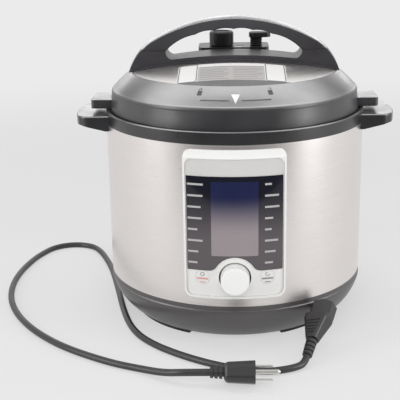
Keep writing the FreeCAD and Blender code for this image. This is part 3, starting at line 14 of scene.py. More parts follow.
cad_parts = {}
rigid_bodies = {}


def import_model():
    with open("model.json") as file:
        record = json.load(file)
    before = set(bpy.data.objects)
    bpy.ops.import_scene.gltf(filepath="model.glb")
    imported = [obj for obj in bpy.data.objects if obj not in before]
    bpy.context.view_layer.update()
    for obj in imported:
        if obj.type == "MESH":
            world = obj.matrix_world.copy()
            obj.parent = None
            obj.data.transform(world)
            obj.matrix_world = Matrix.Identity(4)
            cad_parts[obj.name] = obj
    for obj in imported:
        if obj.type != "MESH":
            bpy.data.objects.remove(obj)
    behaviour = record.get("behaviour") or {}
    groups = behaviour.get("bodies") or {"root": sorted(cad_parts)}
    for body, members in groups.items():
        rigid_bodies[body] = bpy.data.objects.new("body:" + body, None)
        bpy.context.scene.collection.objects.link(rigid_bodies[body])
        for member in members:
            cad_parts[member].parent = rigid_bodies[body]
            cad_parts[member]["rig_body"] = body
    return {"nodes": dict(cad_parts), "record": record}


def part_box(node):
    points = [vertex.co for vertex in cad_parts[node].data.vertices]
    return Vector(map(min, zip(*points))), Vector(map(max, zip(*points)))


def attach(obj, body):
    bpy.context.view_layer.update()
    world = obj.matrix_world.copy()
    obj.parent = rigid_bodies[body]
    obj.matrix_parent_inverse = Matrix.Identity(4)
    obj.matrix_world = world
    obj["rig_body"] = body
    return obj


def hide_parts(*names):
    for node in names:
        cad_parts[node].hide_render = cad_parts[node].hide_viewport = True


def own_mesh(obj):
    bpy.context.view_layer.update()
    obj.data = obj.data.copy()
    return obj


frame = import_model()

LOG = logging.getLogger("cooker")
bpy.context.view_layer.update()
MM = 0.001
FULL_TURN = 2.0 * math.pi
ORIGIN = (0.0, 0.0, 0.0)
UP = (0.0, 0.0, 1.0)
# Angles in degrees
QUARTER_TURN, HALF_TURN, CLOSED_RING = 90.0, 180.0, 360.0
FRONT_ANGLE = -90.0
ALL_SMOOTH = 180.0
NODE_MERGE, SPIN_MERGE = 0.004 * MM, 0.002 * MM
# In millimetres, as flat shapes are drawn
FLAT_MERGE = 0.001
CORNER_STEPS = 4
# Watts per square metre of a soft box at level 1
LAMP_POWER = 4.0
# Sockets of the node that mixes two colours
MIX_FACTOR, MIX_FIRST, MIX_SECOND, MIX_COLOUR = 0, 6, 7, 2
OPAQUE = 1.0
# The curve between display values and light
DISPLAY_WHITE = 255.0
CURVE_KNEE, CURVE_SLOPE = 0.04045, 12.92
CURVE_SHIFT, CURVE_SCALE, CURVE_POWER = 0.055, 1.055, 2.4
# How noise breaks up gloss
NOISE_LOW, NOISE_HIGH = 0.3, 0.7
SMOOTHEST, ROUGHEST = 0.03, 1.0
SMUDGE_DETAIL, GRAIN_DETAIL = 3.0, 2.0
BRUSH_STRETCH = 0.006
BLACK_PLASTICS = ("lid_cover", "upper_rim", "lid_handle", "base_tray")
LEAD_ENDS = ("plug_body", "plug_blades", "plug_relief", "connector_body", "connector_relief")

Colour = tuple[float, float, float]
Point = tuple[float, float, float]
Flat = tuple[float, float]


class Grain(Enum):
    """How a finish is broken up by fine texture."""

    PEBBLE = "moulded pebble"
    AROUND = "brushed around the drum"
    SPUN = "spun in rings"


def linear(red: int, green: int, blue: int) -> Colour:
    """Turn an 8-bit display colour into scene light.

    Args:
        red: red from 0 to 255.
        green: green from 0 to 255.
        blue: blue from 0 to 255.

    Returns:
        The linear colour.
    """
    shares = [value / DISPLAY_WHITE for value in (red, green, blue)]
    return tuple(share / CURVE_SLOPE if share <= CURVE_KNEE
                 else ((share + CURVE_SHIFT) / CURVE_SCALE) ** CURVE_POWER for share in shares)


def added(tree: bpy.types.NodeTree, kind: str, values: dict[str | int, object]) -> bpy.types.Node:
    """Add a node with constants on its sockets.

    Args:
        tree: the nodes and links of a material or a world.
        kind: the node's kind.
        values: the constants by socket.

    Returns:
        The new node.
    """
    node = tree.nodes.new(kind)
    for socket, value in values.items():
        node.inputs[socket].default_value = value
    return node


@dataclass(frozen=True)
class Finish:
    """A surface's colour and gloss, and the grain and smudges, in mm, that break them up."""

    colour: Colour
    roughness: float
    metallic: float = 0.0
    specular: float = 0.5
    ior: float = 1.5
    grain: Grain = Grain.PEBBLE
    grain_size: float = 1.0
    grain_depth: float = 0.006
    smudge_size: float = 26.0
    spread: float = 0.05
    shade: float = 0.08
    centre: Point = ORIGIN
    flat_axis: int = 2
    # Colour of a painted reflection that covers the surface lower down; the next two fields give
    # the band of heights, in metres, over which it gives way to the own colour
    painted_reflection: Colour | None = None
    reflection_low: float = 0.0
    reflection_high: float = 1.0

    def material(self, name: str) -> bpy.types.Material:
        """Build the finish as a material.

        Args:
            name: the material's name.

        Returns:
            The new material.
        """
        made = bpy.data.materials.new(name)
        made.use_nodes = True
        tree = made.node_tree
        links = tree.links
        shader = tree.nodes["Principled BSDF"]
        shader.inputs["Metallic"].default_value = self.metallic
        shader.inputs["Specular IOR Level"].default_value = self.specular
        shader.inputs["IOR"].default_value = self.ior
        place = tree.nodes.new("ShaderNodeTexCoord").outputs["Object"]
        cloud = added(tree, "ShaderNodeTexNoise",
                      {"Scale": 1.0 / (self.smudge_size * MM), "Detail": SMUDGE_DETAIL})
        links.new(place, cloud.inputs["Vector"])
        smudge = cloud.outputs["Fac"]
        links.new(self._tone(tree, place, smudge), shader.inputs["Base Color"])
        span = added(tree, "ShaderNodeMapRange", {
            "From Min": NOISE_LOW, "From Max": NOISE_HIGH,
            "To Min": max(SMOOTHEST, self.roughness - self.spread),
            "To Max": min(ROUGHEST, self.roughness + self.spread)})
        grain = self._grain(tree, place)
        links.new(smudge if self.grain is Grain.PEBBLE else grain, span.inputs["Value"])
        links.new(span.outputs["Result"], shader.inputs["Roughness"])
        bump = added(tree, "ShaderNodeBump", {"Strength": 1.0, "Distance": self.grain_depth * MM})
        links.new(grain, bump.inputs["Height"])
        links.new(bump.outputs["Normal"], shader.inputs["Normal"])
        return made

    def _tone(self, tree: bpy.types.NodeTree, place: bpy.types.NodeSocket,
              smudge: bpy.types.NodeSocket) -> bpy.types.NodeSocket:
        """Add the colour, which varies a little with the smudges and may blend over a height into a
        painted reflection.

        Args:
            tree: the material's nodes and links.
            place: the socket of object coordinates.
            smudge: the socket of the smudges' soft noise.

        Returns:
            The socket that carries the colour.
        """
        dark = tuple(value * (1.0 - self.shade) for value in self.colour)
        light = tuple(min(1.0, value * (1.0 + self.shade)) for value in self.colour)
        tone = added(tree, "ShaderNodeMix",
                     {MIX_FIRST: (*dark, OPAQUE), MIX_SECOND: (*light, OPAQUE)})
        tone.data_type = "RGBA"
        tree.links.new(smudge, tone.inputs[MIX_FACTOR])
        if self.painted_reflection is None:
            return tone.outputs[MIX_COLOUR]
        parts = tree.nodes.new("ShaderNodeSeparateXYZ")
        tree.links.new(place, parts.inputs["Vector"])
        height = added(tree, "ShaderNodeMapRange",
                       {"From Min": self.reflection_low, "From Max": self.reflection_high})
        height.interpolation_type = "SMOOTHSTEP"
        tree.links.new(parts.outputs["Z"], height.inputs["Value"])
        # Painted reflection: a paler colour lower down, blending into the own colour over the band
        # of heights
        reflection_mix = added(tree, "ShaderNodeMix", {MIX_FIRST: (*self.painted_reflection, OPAQUE)})
        reflection_mix.data_type = "RGBA"
        tree.links.new(height.outputs["Result"], reflection_mix.inputs[MIX_FACTOR])
        tree.links.new(tone.outputs[MIX_COLOUR], reflection_mix.inputs[MIX_SECOND])
        return reflection_mix.outputs[MIX_COLOUR]

    def _grain(self, tree: bpy.types.NodeTree,
               place: bpy.types.NodeSocket) -> bpy.types.NodeSocket:
        """Add the grain's fine noise.

        Args:
            tree: the material's nodes and links.
            place: the socket of object coordinates.

        Returns:
            The socket that carries the noise from 0 to 1.
        """
        nodes, links = tree.nodes, tree.links
        noise = added(tree, "ShaderNodeTexNoise", {"Detail": GRAIN_DETAIL, "Scale": 1.0})
        shift = nodes.new("ShaderNodeMapping")
        fine = 1.0 / (self.grain_size * MM)
        links.new(place, shift.inputs["Vector"])
        if self.grain is not Grain.SPUN:
            along = fine * (BRUSH_STRETCH if self.grain is Grain.AROUND else 1.0)
            shift.inputs["Scale"].default_value = (along, along, fine)
            links.new(shift.outputs["Vector"], noise.inputs["Vector"])
            return noise.outputs["Fac"]
        shift.inputs["Location"].default_value = tuple(-value for value in self.centre)
        across = [0.0 if axis == self.flat_axis else fine for axis in range(3)]
        flat = added(tree, "ShaderNodeVectorMath", {1: across})
        flat.operation = "MULTIPLY"
        reach = nodes.new("ShaderNodeVectorMath")
        reach.operation = "LENGTH"
        noise.noise_dimensions = "1D"
        links.new(shift.outputs["Vector"], flat.inputs[0])
        links.new(flat.outputs["Vector"], reach.inputs[0])
        links.new(reach.outputs["Value"], noise.inputs["W"])
        return noise.outputs["Fac"]


FINISHES: dict[str, Finish] = {
    "base_grey": Finish(linear(70, 67, 67), 0.38, specular=1.0, grain_size=0.9, grain_depth=0.02),
    "foot_rubber": Finish(linear(36, 36, 38), 0.8, grain_depth=0.03),
    "shell_steel": Finish(linear(236, 231, 229), 0.33, metallic=1.0, grain=Grain.AROUND,
                          grain_size=0.35, grain_depth=0.0012, spread=0.07, shade=0.02),
    "dome_steel": Finish(linear(243, 240, 237), 0.32, metallic=1.0, grain=Grain.SPUN, shade=0.02,
                         grain_size=0.5, grain_depth=0.0008),
    "pot_steel": Finish(linear(214, 213, 211), 0.28, metallic=1.0, grain=Grain.SPUN, shade=0.03,
                        grain_size=0.6, grain_depth=0.0008),
    "rim_black": Finish(linear(29, 28, 31), 0.32, specular=0.75, ior=1.55, grain_size=1.1,
                        grain_depth=0.01),
    "lid_black": Finish(linear(43, 42, 45), 0.36, specular=1.0, grain_size=1.1, grain_depth=0.008),
    "handle_black": Finish(linear(48, 46, 50), 0.32, grain_depth=0.008, specular=0.75),
    "panel_silver": Finish(linear(240, 240, 238), 0.32, shade=0.02, grain_depth=0.003),
    "panel_white": Finish(linear(238, 237, 235), 0.34, shade=0.02, grain_depth=0.003),
    # The window's own colour is the dark navy; the paler grey it blends into lower down is a
    # painted reflection
    "window_dark": Finish(linear(22, 23, 34), 0.08, specular=0.4, grain_depth=0.001, spread=0.02,
                          painted_reflection=linear(92, 86, 89), reflection_low=0.11, reflection_high=0.165),
    # The display's face is lighter than the window; its blend from dark navy at the top into pale
    # grey lower down is a painted reflection
    "lcd_face": Finish(linear(30, 35, 72), 0.12, specular=0.4, grain_depth=0.001, spread=0.02,
                       painted_reflection=linear(152, 143, 146), reflection_low=0.12, reflection_high=0.162),
    "knob_silver": Finish(linear(248, 248, 246), 0.3, grain=Grain.SPUN, shade=0.02, grain_size=0.4,
                          grain_depth=0.001, centre=(0.0, 0.0, 0.078), flat_axis=1),
    "key_silver": Finish(linear(238, 237, 235), 0.33, shade=0.02, grain_depth=0.003),
    "platform_black": Finish(linear(50, 50, 54), 0.32, specular=0.9),
    "valve_black": Finish(linear(36, 36, 39), 0.38, specular=0.6),
    "button_black": Finish(linear(34, 34, 37), 0.36, specular=0.6),
    "silicone_dark": Finish(linear(38, 38, 40), 0.6, grain_depth=0.02),
    "silicone_clear": Finish(linear(222, 220, 214), 0.5, grain_depth=0.01),
    "hardware_steel": Finish(linear(210, 209, 205), 0.22, metallic=1.0, shade=0.04,
                             grain_depth=0.002),
    "cast_aluminium": Finish(linear(194, 194, 196), 0.36, metallic=1.0, grain_depth=0.03),
    "board_green": Finish(linear(40, 98, 62), 0.4),
    "component_black": Finish(linear(38, 38, 40), 0.5),
    "inlet_black": Finish(linear(34, 34, 36), 0.5, grain_depth=0.015),
    "cup_grey": Finish(linear(120, 123, 128), 0.25),
    "cord_black": Finish(linear(42, 41, 43), 0.38, specular=0.7, grain_size=1.2, grain_depth=0.002),
}

INKS: dict[str, Finish] = {
    "ink_white": Finish(linear(240, 240, 238), 0.45, shade=0.03, grain_depth=0.003),
    "ink_pale": Finish(linear(186, 184, 184), 0.45, shade=0.05, grain_depth=0.003),
    "ink_grey": Finish(linear(150, 150, 152), 0.5, shade=0.06, grain_depth=0.003),
    "ink_red": Finish(linear(228, 164, 158), 0.5, shade=0.05, grain_depth=0.003),
    "ink_dark": Finish(linear(84, 82, 86), 0.5, shade=0.06, grain_depth=0.003),
    "label_white": Finish(linear(240, 239, 237), 0.5, specular=0.3, shade=0.02, grain_depth=0.004),
    "label_grey": Finish(linear(190, 186, 184), 0.4, shade=0.06, grain_depth=0.004),
    "strip_silver": Finish(linear(214, 213, 211), 0.34, shade=0.03, grain_depth=0.003),
}


class FinishBook:
    """Every finish made once, found by the record's slot name or the ink's name."""

    def __init__(self) -> None:
        """Make a material for each finish and ink."""
        every = {**FINISHES, **INKS}
        rows = frame["record"]["subparts"]
        self.made: dict[str, bpy.types.Material] = {
            name: finish.material(name) for name, finish in every.items()}
        self.slots: dict[str, str] = {row["node"]: row["material_slot"] for row in rows}

    def paint(self, piece: bpy.types.Object, finish: str) -> None:
        """Give a piece one finish.

        Args:
            piece: the object to paint.
            finish: the slot's or ink's name.
        """
        piece.data.materials.clear()
        piece.data.materials.append(self.made[finish])

    def paint_nodes(self) -> None:
        """Give every node of the frame the finish of its slot."""
        for name, node in frame["nodes"].items():
            node.data.materials.clear()
            node.data.materials.append(self.made[self.slots[name]])
        LOG.info("painted %d nodes", len(frame["nodes"]))


def linked(name: str, mesh: bmesh.types.BMesh) -> bpy.types.Object:
    """Turn a bmesh into an object of the scene.

    Args:
        name: the object's name.
        mesh: the finished bmesh, in metres, which is freed.

    Returns:
        The new object, at the origin.
    """
    data = bpy.data.meshes.new(name)
    mesh.to_mesh(data)
    mesh.free()
    thing = bpy.data.objects.new(name, data)
    bpy.context.scene.collection.objects.link(thing)
    return thing


def new_piece(name: str, mesh: bmesh.types.BMesh, body: str) -> bpy.types.Object:
    """Turn a bmesh into a piece that rides on a body.

    Args:
        name: the piece's name.
        mesh: the finished bmesh, in metres, which is freed.
        body: the body it rides on.

    Returns:
        The new object, at the origin.
    """
    piece = linked(name, mesh)
    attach(piece, body)
    LOG.info("made %s on %s", name, body)
    return piece


def shade_by_angle(piece: bpy.types.Object, degrees: float) -> None:
    """Smooth a piece's faces and keep edges sharper than an angle.

    Args:
        piece: the object to shade.
        degrees: the angle between faces past which an edge stays sharp.
    """
    piece.data.polygons.foreach_set("use_smooth", [True] * len(piece.data.polygons))
    piece.data.set_sharp_from_angle(angle=math.radians(degrees))


def soft_copy(node: str, width: float, segments: int, sharp: float,
              flat: float = 0.0) -> bpy.types.Object:
    """Copy a node of the frame as a piece with rounded edges.

    Args:
        node: the node to copy.
        width: the width of the rounding in metres.
        segments: the faces across the rounding.
        sharp: the angle in degrees past which an edge is rounded.
        flat: the angle in degrees up to which faces become one, or 0 to keep them all.

    Returns:
        The copy, which rides on the node's body.
    """
    source = frame["nodes"][node]
    mesh = bmesh.new()
    mesh.from_mesh(source.data)
    bmesh.ops.remove_doubles(mesh, verts=mesh.verts, dist=NODE_MERGE)
    if flat > 0.0:
        bmesh.ops.dissolve_limit(mesh, angle_limit=math.radians(flat), verts=mesh.verts,
                                 edges=mesh.edges)
    piece = new_piece(f"{node}_soft", mesh, source["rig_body"])
    bevel = piece.modifiers.new("edge", "BEVEL")
    bevel.width = width
    bevel.segments = segments
    bevel.limit_method = "ANGLE"
    bevel.angle_limit = math.radians(sharp)
    shade_by_angle(piece, ALL_SMOOTH)
    return piece


@dataclass
class Softener:
    """Copies nodes and rounds their edges by widths in mm, as moulding and pressing do."""

    book: FinishBook
    flat_angle: float = 0.6
    sharp_angle: float = 30.0
    segments: int = 2
    made: dict[str, bpy.types.Object] = field(default_factory=dict)
    widths: dict[str, float] = field(default_factory=lambda: {
        "lid_handle": 0.9, "handle_base": 0.4, "upper_rim": 0.5, "lid_cover": 0.5,
        "base_tray": 0.5, "panel_bezel": 0.6, "panel_fascia": 0.25, "display_window": 0.2,
        "release_platform": 0.6, "plug_body": 0.9, "connector_body": 0.7, "condensation_cup": 0.5,
        "cup_bracket": 0.3, "power_inlet": 0.4, "plug_blades": 0.25, "cancel_key": 0.15,
        "start_key": 0.15,
    })

    def build(self) -> None:
        """Replace each listed node by a copy with rounded edges."""
        for node, width in self.widths.items():
            self.made[node] = self._soften(node, width * MM)

    def _soften(self, node: str, width: float) -> bpy.types.Object:
        """Replace a node by a copy with rounded edges.

        Args:
            node: the node to copy.
            width: the width of the rounding in metres.

        Returns:
            The piece that stands for the node.
        """
        piece = soft_copy(node, width, self.segments, self.sharp_angle, self.flat_angle)
        piece.modifiers["edge"].miter_outer = "MITER_ARC"
        piece.modifiers["edge"].use_clamp_overlap = True
        piece.modifiers.new("even", "WEIGHTED_NORMAL").keep_sharp = True
        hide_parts(node)
        self.book.paint(piece, self.book.slots[node])
        return piece


class Approach(Enum):
    """The side from which a flat mark is laid on the object."""

    FRONT = Vector((0.0, 1.0, 0.0))
    ABOVE = Vector((0.0, 0.0, -1.0))


@dataclass
class Drape:
    """Lays thin flat shapes on a node's faces, as print and labels lie."""

    book: FinishBook
    node: str
    approach: Approach
    stand_off: float = 0.4
    sunk: float = 0.03 * MM
    thickness: float = 0.11 * MM
    step: float = 3.0 * MM
    cut_reach: float = 1e-7

    def __post_init__(self) -> None:
        """Read the node's faces for the drops."""
        source = bmesh.new()
        source.from_mesh(frame["nodes"][self.node].data)
        self.tree = BVHTree.FromBMesh(source)
        source.free()
        self.body: str = frame["nodes"][self.node]["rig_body"]

    def lay(self, name: str, shape: bmesh.types.BMesh, finish: str) -> bpy.types.Object:
        """Give a flat shape its thickness and drop it on the node.

        Args:
            name: the new piece's name.
            shape: the flat shape in millimetres, across in x and along in y.
            finish: the finish's name.

        Returns:
            The mark as a thin closed piece.
        """
        bmesh.ops.scale(shape, verts=shape.verts, vec=(MM, MM, MM))
        self._slice(shape)
        bmesh.ops.recalc_face_normals(shape, faces=shape.faces)
        raised = bmesh.ops.extrude_face_region(shape, geom=shape.faces[:])["geom"]
        top = [item for item in raised if isinstance(item, bmesh.types.BMVert)]
        bmesh.ops.translate(shape, verts=top, vec=(0.0, 0.0, self.thickness))
        for vert in shape.verts:
            vert.co = self._drop(vert.co)
        bmesh.ops.recalc_face_normals(shape, faces=shape.faces)
        piece = new_piece(name, shape, self.body)
        self.book.paint(piece, finish)
        return piece

    def _slice(self, shape: bmesh.types.BMesh) -> None:
        """Cut a flat shape into narrow strips both ways so that it can follow a curved face.

        Args:
            shape: the flat shape in metres.
        """
        for axis in (Vector((1.0, 0.0, 0.0)), Vector((0.0, 1.0, 0.0))):
            reach = [vert.co.dot(axis) for vert in shape.verts]
            first = math.floor(min(reach) / self.step) + 1
            last = math.ceil(max(reach) / self.step)
            for count in range(first, last):
                whole = shape.verts[:] + shape.edges[:] + shape.faces[:]
                bmesh.ops.bisect_plane(shape, geom=whole, dist=self.cut_reach,
                                       plane_co=axis * (count * self.step), plane_no=axis)

    def _drop(self, flat: Vector) -> Vector:
        """Find where a point of the flat shape comes to lie.

        Args:
            flat: the point, with its height above the face as z.

        Returns:
            The point on or over the node's face.
        """
        way = self.approach.value
        upright = self.approach is Approach.FRONT
        plan = Vector((flat.x, 0.0, flat.y) if upright else (flat.x, flat.y, 0.0))
        spot, normal, _, _ = self.tree.ray_cast(plan - way * self.stand_off, way)
        if spot is None:
            raise ValueError(f"a mark misses {self.node} at {tuple(plan)}")
        return spot + normal * (flat.z - self.sunk)


def bar(left: float, right: float, low: float, high: float, corner: float = 0.0,
        upper_only: bool = False) -> bmesh.types.BMesh:
    """Make a flat bar.

    Args:
        left: its left side in millimetres.
        right: its right side.
        low: its lower side.
        high: its upper side.
        corner: the rounding of its corners.
        upper_only: whether the lower corners stay square.

    Returns:
        The flat shape.
    """
    mesh = bmesh.new()
    bmesh.ops.create_grid(mesh, x_segments=1, y_segments=1, size=0.5)
    bmesh.ops.scale(mesh, verts=mesh.verts, vec=(right - left, high - low, 1.0))
    middle = (low + high) / 2.0
    bmesh.ops.translate(mesh, verts=mesh.verts, vec=((left + right) / 2.0, middle, 0.0))
    if corner > 0.0:
        corners = [vert for vert in mesh.verts if not upper_only or vert.co.y > middle]
        bmesh.ops.bevel(mesh, geom=corners, offset=corner, affect="VERTICES",
                        segments=CORNER_STEPS, profile=0.5, material=-1)
    return mesh


def arc(centre: Flat, inner: float, outer: float, start: float, sweep: float,
        steps: int) -> bmesh.types.BMesh:
    """Make a flat arc by spinning a short radial edge.

    Args:
        centre: the arc's centre in millimetres.
        inner: its inner radius.
        outer: its outer radius.
        start: the angle at which it begins, in degrees.
        sweep: the angle that it covers, in degrees.
        steps: the steps along it.

    Returns:
        The flat shape.
    """
    mesh = bmesh.new()
    angle = math.radians(start)
    across, along = math.cos(angle), math.sin(angle)
    ends = [mesh.verts.new((centre[0] + reach * across, centre[1] + reach * along, 0.0))
            for reach in (inner, outer)]
    edge = mesh.edges.new(ends)
    bmesh.ops.spin(mesh, geom=[*ends, edge], cent=(*centre, 0.0), axis=UP,
                   angle=math.radians(sweep), steps=steps, use_merge=sweep >= CLOSED_RING)
    bmesh.ops.remove_doubles(mesh, verts=mesh.verts, dist=FLAT_MERGE)
    return mesh


def outlined(shape: bmesh.types.BMesh, width: float) -> bmesh.types.BMesh:
    """Keep only a narrow border of a flat shape of one face.

    Args:
        shape: the flat shape.
        width: the border's width in millimetres.

    Returns:
        The same shape with its middle taken out.
    """
    middle = shape.faces[:]
    bmesh.ops.inset_region(shape, faces=middle, thickness=width, use_boundary=True,
                           use_even_offset=True)
    bmesh.ops.delete(shape, geom=middle, context="FACES")
    return shape


def gathered(*shapes: bmesh.types.BMesh) -> bmesh.types.BMesh:
    """Gather flat shapes that do not touch into one.

    Args:
        shapes: the flat shapes, which are freed.

    Returns:
        The gathered shape.
    """
    whole = bmesh.new()
    for shape in shapes:
        keeper = bpy.data.meshes.new("flat")
        shape.to_mesh(keeper)
        shape.free()
        whole.from_mesh(keeper)
        bpy.data.meshes.remove(keeper)
    return whole


@dataclass
class PanelPrint:
    """The display's face, the bare bars beside it, the strip above and the keys' signs, in mm."""

    book: FinishBook
    top: float = 173.4
    pitch: float = 11.45
    height: float = 2.0
    left_start: float = -46.0
    left_lengths: Sequence[float] = (15.5, 15.0, 13.0, 14.0, 9.5, 14.5, 10.0, 9.0)
    right_start: float = 29.4
    right_lengths: Sequence[float] = (6.5, 13.5, 14.0, 8.0, 6.5, 13.0, 10.5, 8.0)
    key_x: float = 32.2
    key_z: float = 76.6
    sign_radius: float = 2.2
    sign_line: float = 0.7
    sign_steps: int = 24
    sign_start: float = 90.0
    cancel_sweep: float = CLOSED_RING
    start_sweep: float = 270.0
    word_half: float = 5.6
    word_low: float = -1.1
    word_high: float = 0.7
    short_share: float = 0.5
    short_low: float = -4.4
    short_high: float = -3.4
    lcd_half: float = 23.0
    lcd_low: float = 101.0
    lcd_high: float = 176.6
    lcd_corner: float = 1.0
    strip_half: float = 47.1
    strip_low: float = 181.7
    strip_high: float = 198.0
    strip_corner: float = 5.4

    def build(self) -> None:
        """Print the bars, the strip and the signs and show the display through its window."""
        glass = Drape(self.book, "display_window", Approach.FRONT)
        # The display's face carries a painted reflection, pale grey lower down, from its finish
        glass.lay("lcd_view", bar(-self.lcd_half, self.lcd_half, self.lcd_low, self.lcd_high,
                                  self.lcd_corner), "lcd_face")
        rise = self.height / 2.0
        for side, start, lengths in (("left", self.left_start, self.left_lengths),
                                     ("right", self.right_start, self.right_lengths)):
            rows = []
            for count, length in enumerate(lengths):
                middle = self.top - count * self.pitch
                rows.append(bar(start, start + length, middle - rise, middle + rise))
            glass.lay(f"menu_bars_{side}", gathered(*rows), "ink_pale")
        fascia = Drape(self.book, "panel_fascia", Approach.FRONT)
        fascia.lay("header_strip", bar(-self.strip_half, self.strip_half, self.strip_low,
                                       self.strip_high, self.strip_corner, True), "strip_silver")
        self._sign("cancel", -self.key_x, "ink_red", self.cancel_sweep)
        self._sign("start", self.key_x, "ink_grey", self.start_sweep)

    def _sign(self, key: str, middle: float, ink: str, sweep: float) -> None:
        """Print a ring or an open ring with two short bars under it on a key.

        Args:
            key: the key's name.
            middle: the sign's middle across the panel.
            ink: the ink of the bars.
            sweep: how much of the ring is closed, in degrees.
        """
        face = Drape(self.book, f"{key}_key", Approach.FRONT)
        top = self.key_z + 2.0 * self.sign_radius
        ring = arc((middle, top), self.sign_radius - self.sign_line, self.sign_radius,
                   self.sign_start, sweep, self.sign_steps)
        face.lay(f"{key}_ring", ring, "ink_grey")
        wide = bar(middle - self.word_half, middle + self.word_half, self.key_z + self.word_low,
                   self.key_z + self.word_high)
        half = self.short_share * self.word_half
        short = bar(middle - half, middle + half, self.key_z + self.short_low,
                    self.key_z + self.short_high)
        face.lay(f"{key}_bars", gathered(wide, short), ink)


@dataclass
class LidPrint:
    """The bare label on the dome and the arrow, guide line and lock signs on the slope, in mm."""

    book: FinishBook
    label_step: float = 5.0 * MM
    middle_thickness: float = 0.2 * MM
    print_thickness: float = 0.28 * MM
    label_left: float = -56.5
    label_right: float = 52.5
    label_front: float = -93.4
    label_back: float = -37.0
    label_corner: float = 2.5
    middle_left: float = -36.0
    middle_right: float = 31.0
    middle_back: float = -50.0
    middle_gap: float = 1.0
    line_half: float = 0.6
    border_gap: float = 0.9
    border_width: float = 0.8
    row_columns: int = 2
    row_count: int = 7
    row_start: float = 4.0
    row_pitch: float = 5.2
    row_height: float = 1.3
    row_margin: float = 2.0
    row_shares: Sequence[float] = (1.0, 0.82, 0.94)
    arrow_sides: int = 3
    arrow_x: float = 1.5
    arrow_half: float = 4.3
    arrow_inner: float = 118.5
    arrow_tip: float = 126.3
    guide_radius: float = 123.9
    guide_half_width: float = 0.45
    guide_start: float = -105.3
    guide_sweep: float = 32.1
    guide_gap_left: float = 2.2
    guide_gap_right: float = 3.6
    guide_steps: int = 16
    lock_radius: float = 117.6
    lock_half: float = 2.3
    block_top_share: float = 0.9
    bow_middle_share: float = 1.1
    bow_inner_share: float = 0.5
    bow_outer_share: float = 0.85
    bow_steps: int = 12
    closed_turn: float = -16.3
    closed_sweep: float = 180.0
    open_turn: float = 17.4
    open_sweep: float = 110.0

    def build(self) -> None:
        """Lay the label and the signs on the slope."""
        self._label()
        slope = Drape(self.book, "lid_cover", Approach.ABOVE)
        self._arrow(slope)
        self._guide(slope, "left", self.guide_start, FRONT_ANGLE - self.guide_gap_left)
        self._guide(slope, "right", FRONT_ANGLE + self.guide_gap_right,
                    self.guide_start + self.guide_sweep)
        self._lock(slope, "lock_closed", self.closed_turn, self.closed_sweep)
        self._lock(slope, "lock_open", self.open_turn, self.open_sweep)

    def _label(self) -> None:
        """Lay the white label, its grey middle, its two borders, its line and its rows of print."""
        paper, over, finer = (
            Drape(self.book, "lid_dome", Approach.ABOVE, step=self.label_step, thickness=thickness)
            for thickness in (Drape.thickness, self.middle_thickness, self.print_thickness))
        paper.lay("label", bar(self.label_left, self.label_right, self.label_front,
                               self.label_back, self.label_corner), "label_white")
        over.lay("label_middle", bar(self.middle_left, self.middle_right,
                                     self.label_front + self.middle_gap, self.middle_back),
                 "label_grey")
        for name, left, right in (("left", self.label_left, self.middle_left),
                                  ("right", self.middle_right, self.label_right)):
            block = bar(left + self.border_gap, right - self.border_gap,
                        self.label_front + self.border_gap, self.label_back - self.border_gap,
                        self.label_corner)
            over.lay(f"label_border_{name}", outlined(block, self.border_width), "ink_dark")
        finer.lay("label_line", bar(self.middle_left, self.middle_right,
                                    self.middle_back - self.line_half,
                                    self.middle_back + self.line_half), "ink_dark")
        rows = []
        column = (self.middle_right - self.middle_left) / self.row_columns
        for count in range(self.row_columns):
            left = self.middle_left + count * column + self.row_margin
            for row in range(self.row_count):
                low = self.label_front + self.row_start + row * self.row_pitch
                share = self.row_shares[row % len(self.row_shares)]
                length = (column - 2.0 * self.row_margin) * share
                rows.append(bar(left, left + length, low, low + self.row_height))
        finer.lay("label_rows", gathered(*rows), "ink_grey")

    def _arrow(self, slope: Drape) -> None:
        """Lay the white arrow that points at the front.

        Args:
            slope: the drape of the lid's slope.
        """
        arrow = bmesh.new()
        bmesh.ops.create_circle(arrow, cap_ends=True, radius=1.0, segments=self.arrow_sides)
        bmesh.ops.rotate(arrow, verts=arrow.verts, cent=ORIGIN,
                         matrix=Matrix.Rotation(math.radians(HALF_TURN), 3, "Z"))
        heights = [vert.co.y for vert in arrow.verts]
        tall = (self.arrow_tip - self.arrow_inner) / (max(heights) - min(heights))
        across = max(vert.co.x for vert in arrow.verts)
        bmesh.ops.scale(arrow, verts=arrow.verts, vec=(self.arrow_half / across, tall, 1.0))
        low = min(vert.co.y for vert in arrow.verts)
        bmesh.ops.translate(arrow, verts=arrow.verts,
                            vec=(self.arrow_x, -self.arrow_tip - low, 0.0))
        slope.lay("lid_arrow", arrow, "ink_white")

    def _guide(self, slope: Drape, side: str, start: float, end: float) -> None:
        """Lay one side of the guide line.

        Args:
            slope: the drape of the lid's slope.
            side: the side's name.
            start: the angle at which the line begins, in degrees.
            end: the angle at which it ends.
        """
        line = arc((0.0, 0.0), self.guide_radius - self.guide_half_width,
                   self.guide_radius + self.guide_half_width, start, end - start, self.guide_steps)
        slope.lay(f"guide_line_{side}", line, "ink_dark")

    def _lock(self, slope: Drape, name: str, turn: float, sweep: float) -> None:
        """Lay a padlock sign on the slope.

        Args:
            slope: the drape of the lid's slope.
            name: the sign's name.
            turn: its angle from the front, in degrees.
            sweep: how far its bow closes, in degrees.
        """
        half = self.lock_half
        block = bar(-half, half, -half, self.block_top_share * half)
        bow = arc((0.0, self.bow_middle_share * half), self.bow_inner_share * half,
                  self.bow_outer_share * half, 0.0, sweep, self.bow_steps)
        sign = gathered(block, bow)
        bmesh.ops.translate(sign, verts=sign.verts, vec=(0.0, -self.lock_radius, 0.0))
        bmesh.ops.rotate(sign, verts=sign.verts, cent=ORIGIN,
                         matrix=Matrix.Rotation(math.radians(turn), 3, "Z"))
        slope.lay(name, sign, "ink_dark")


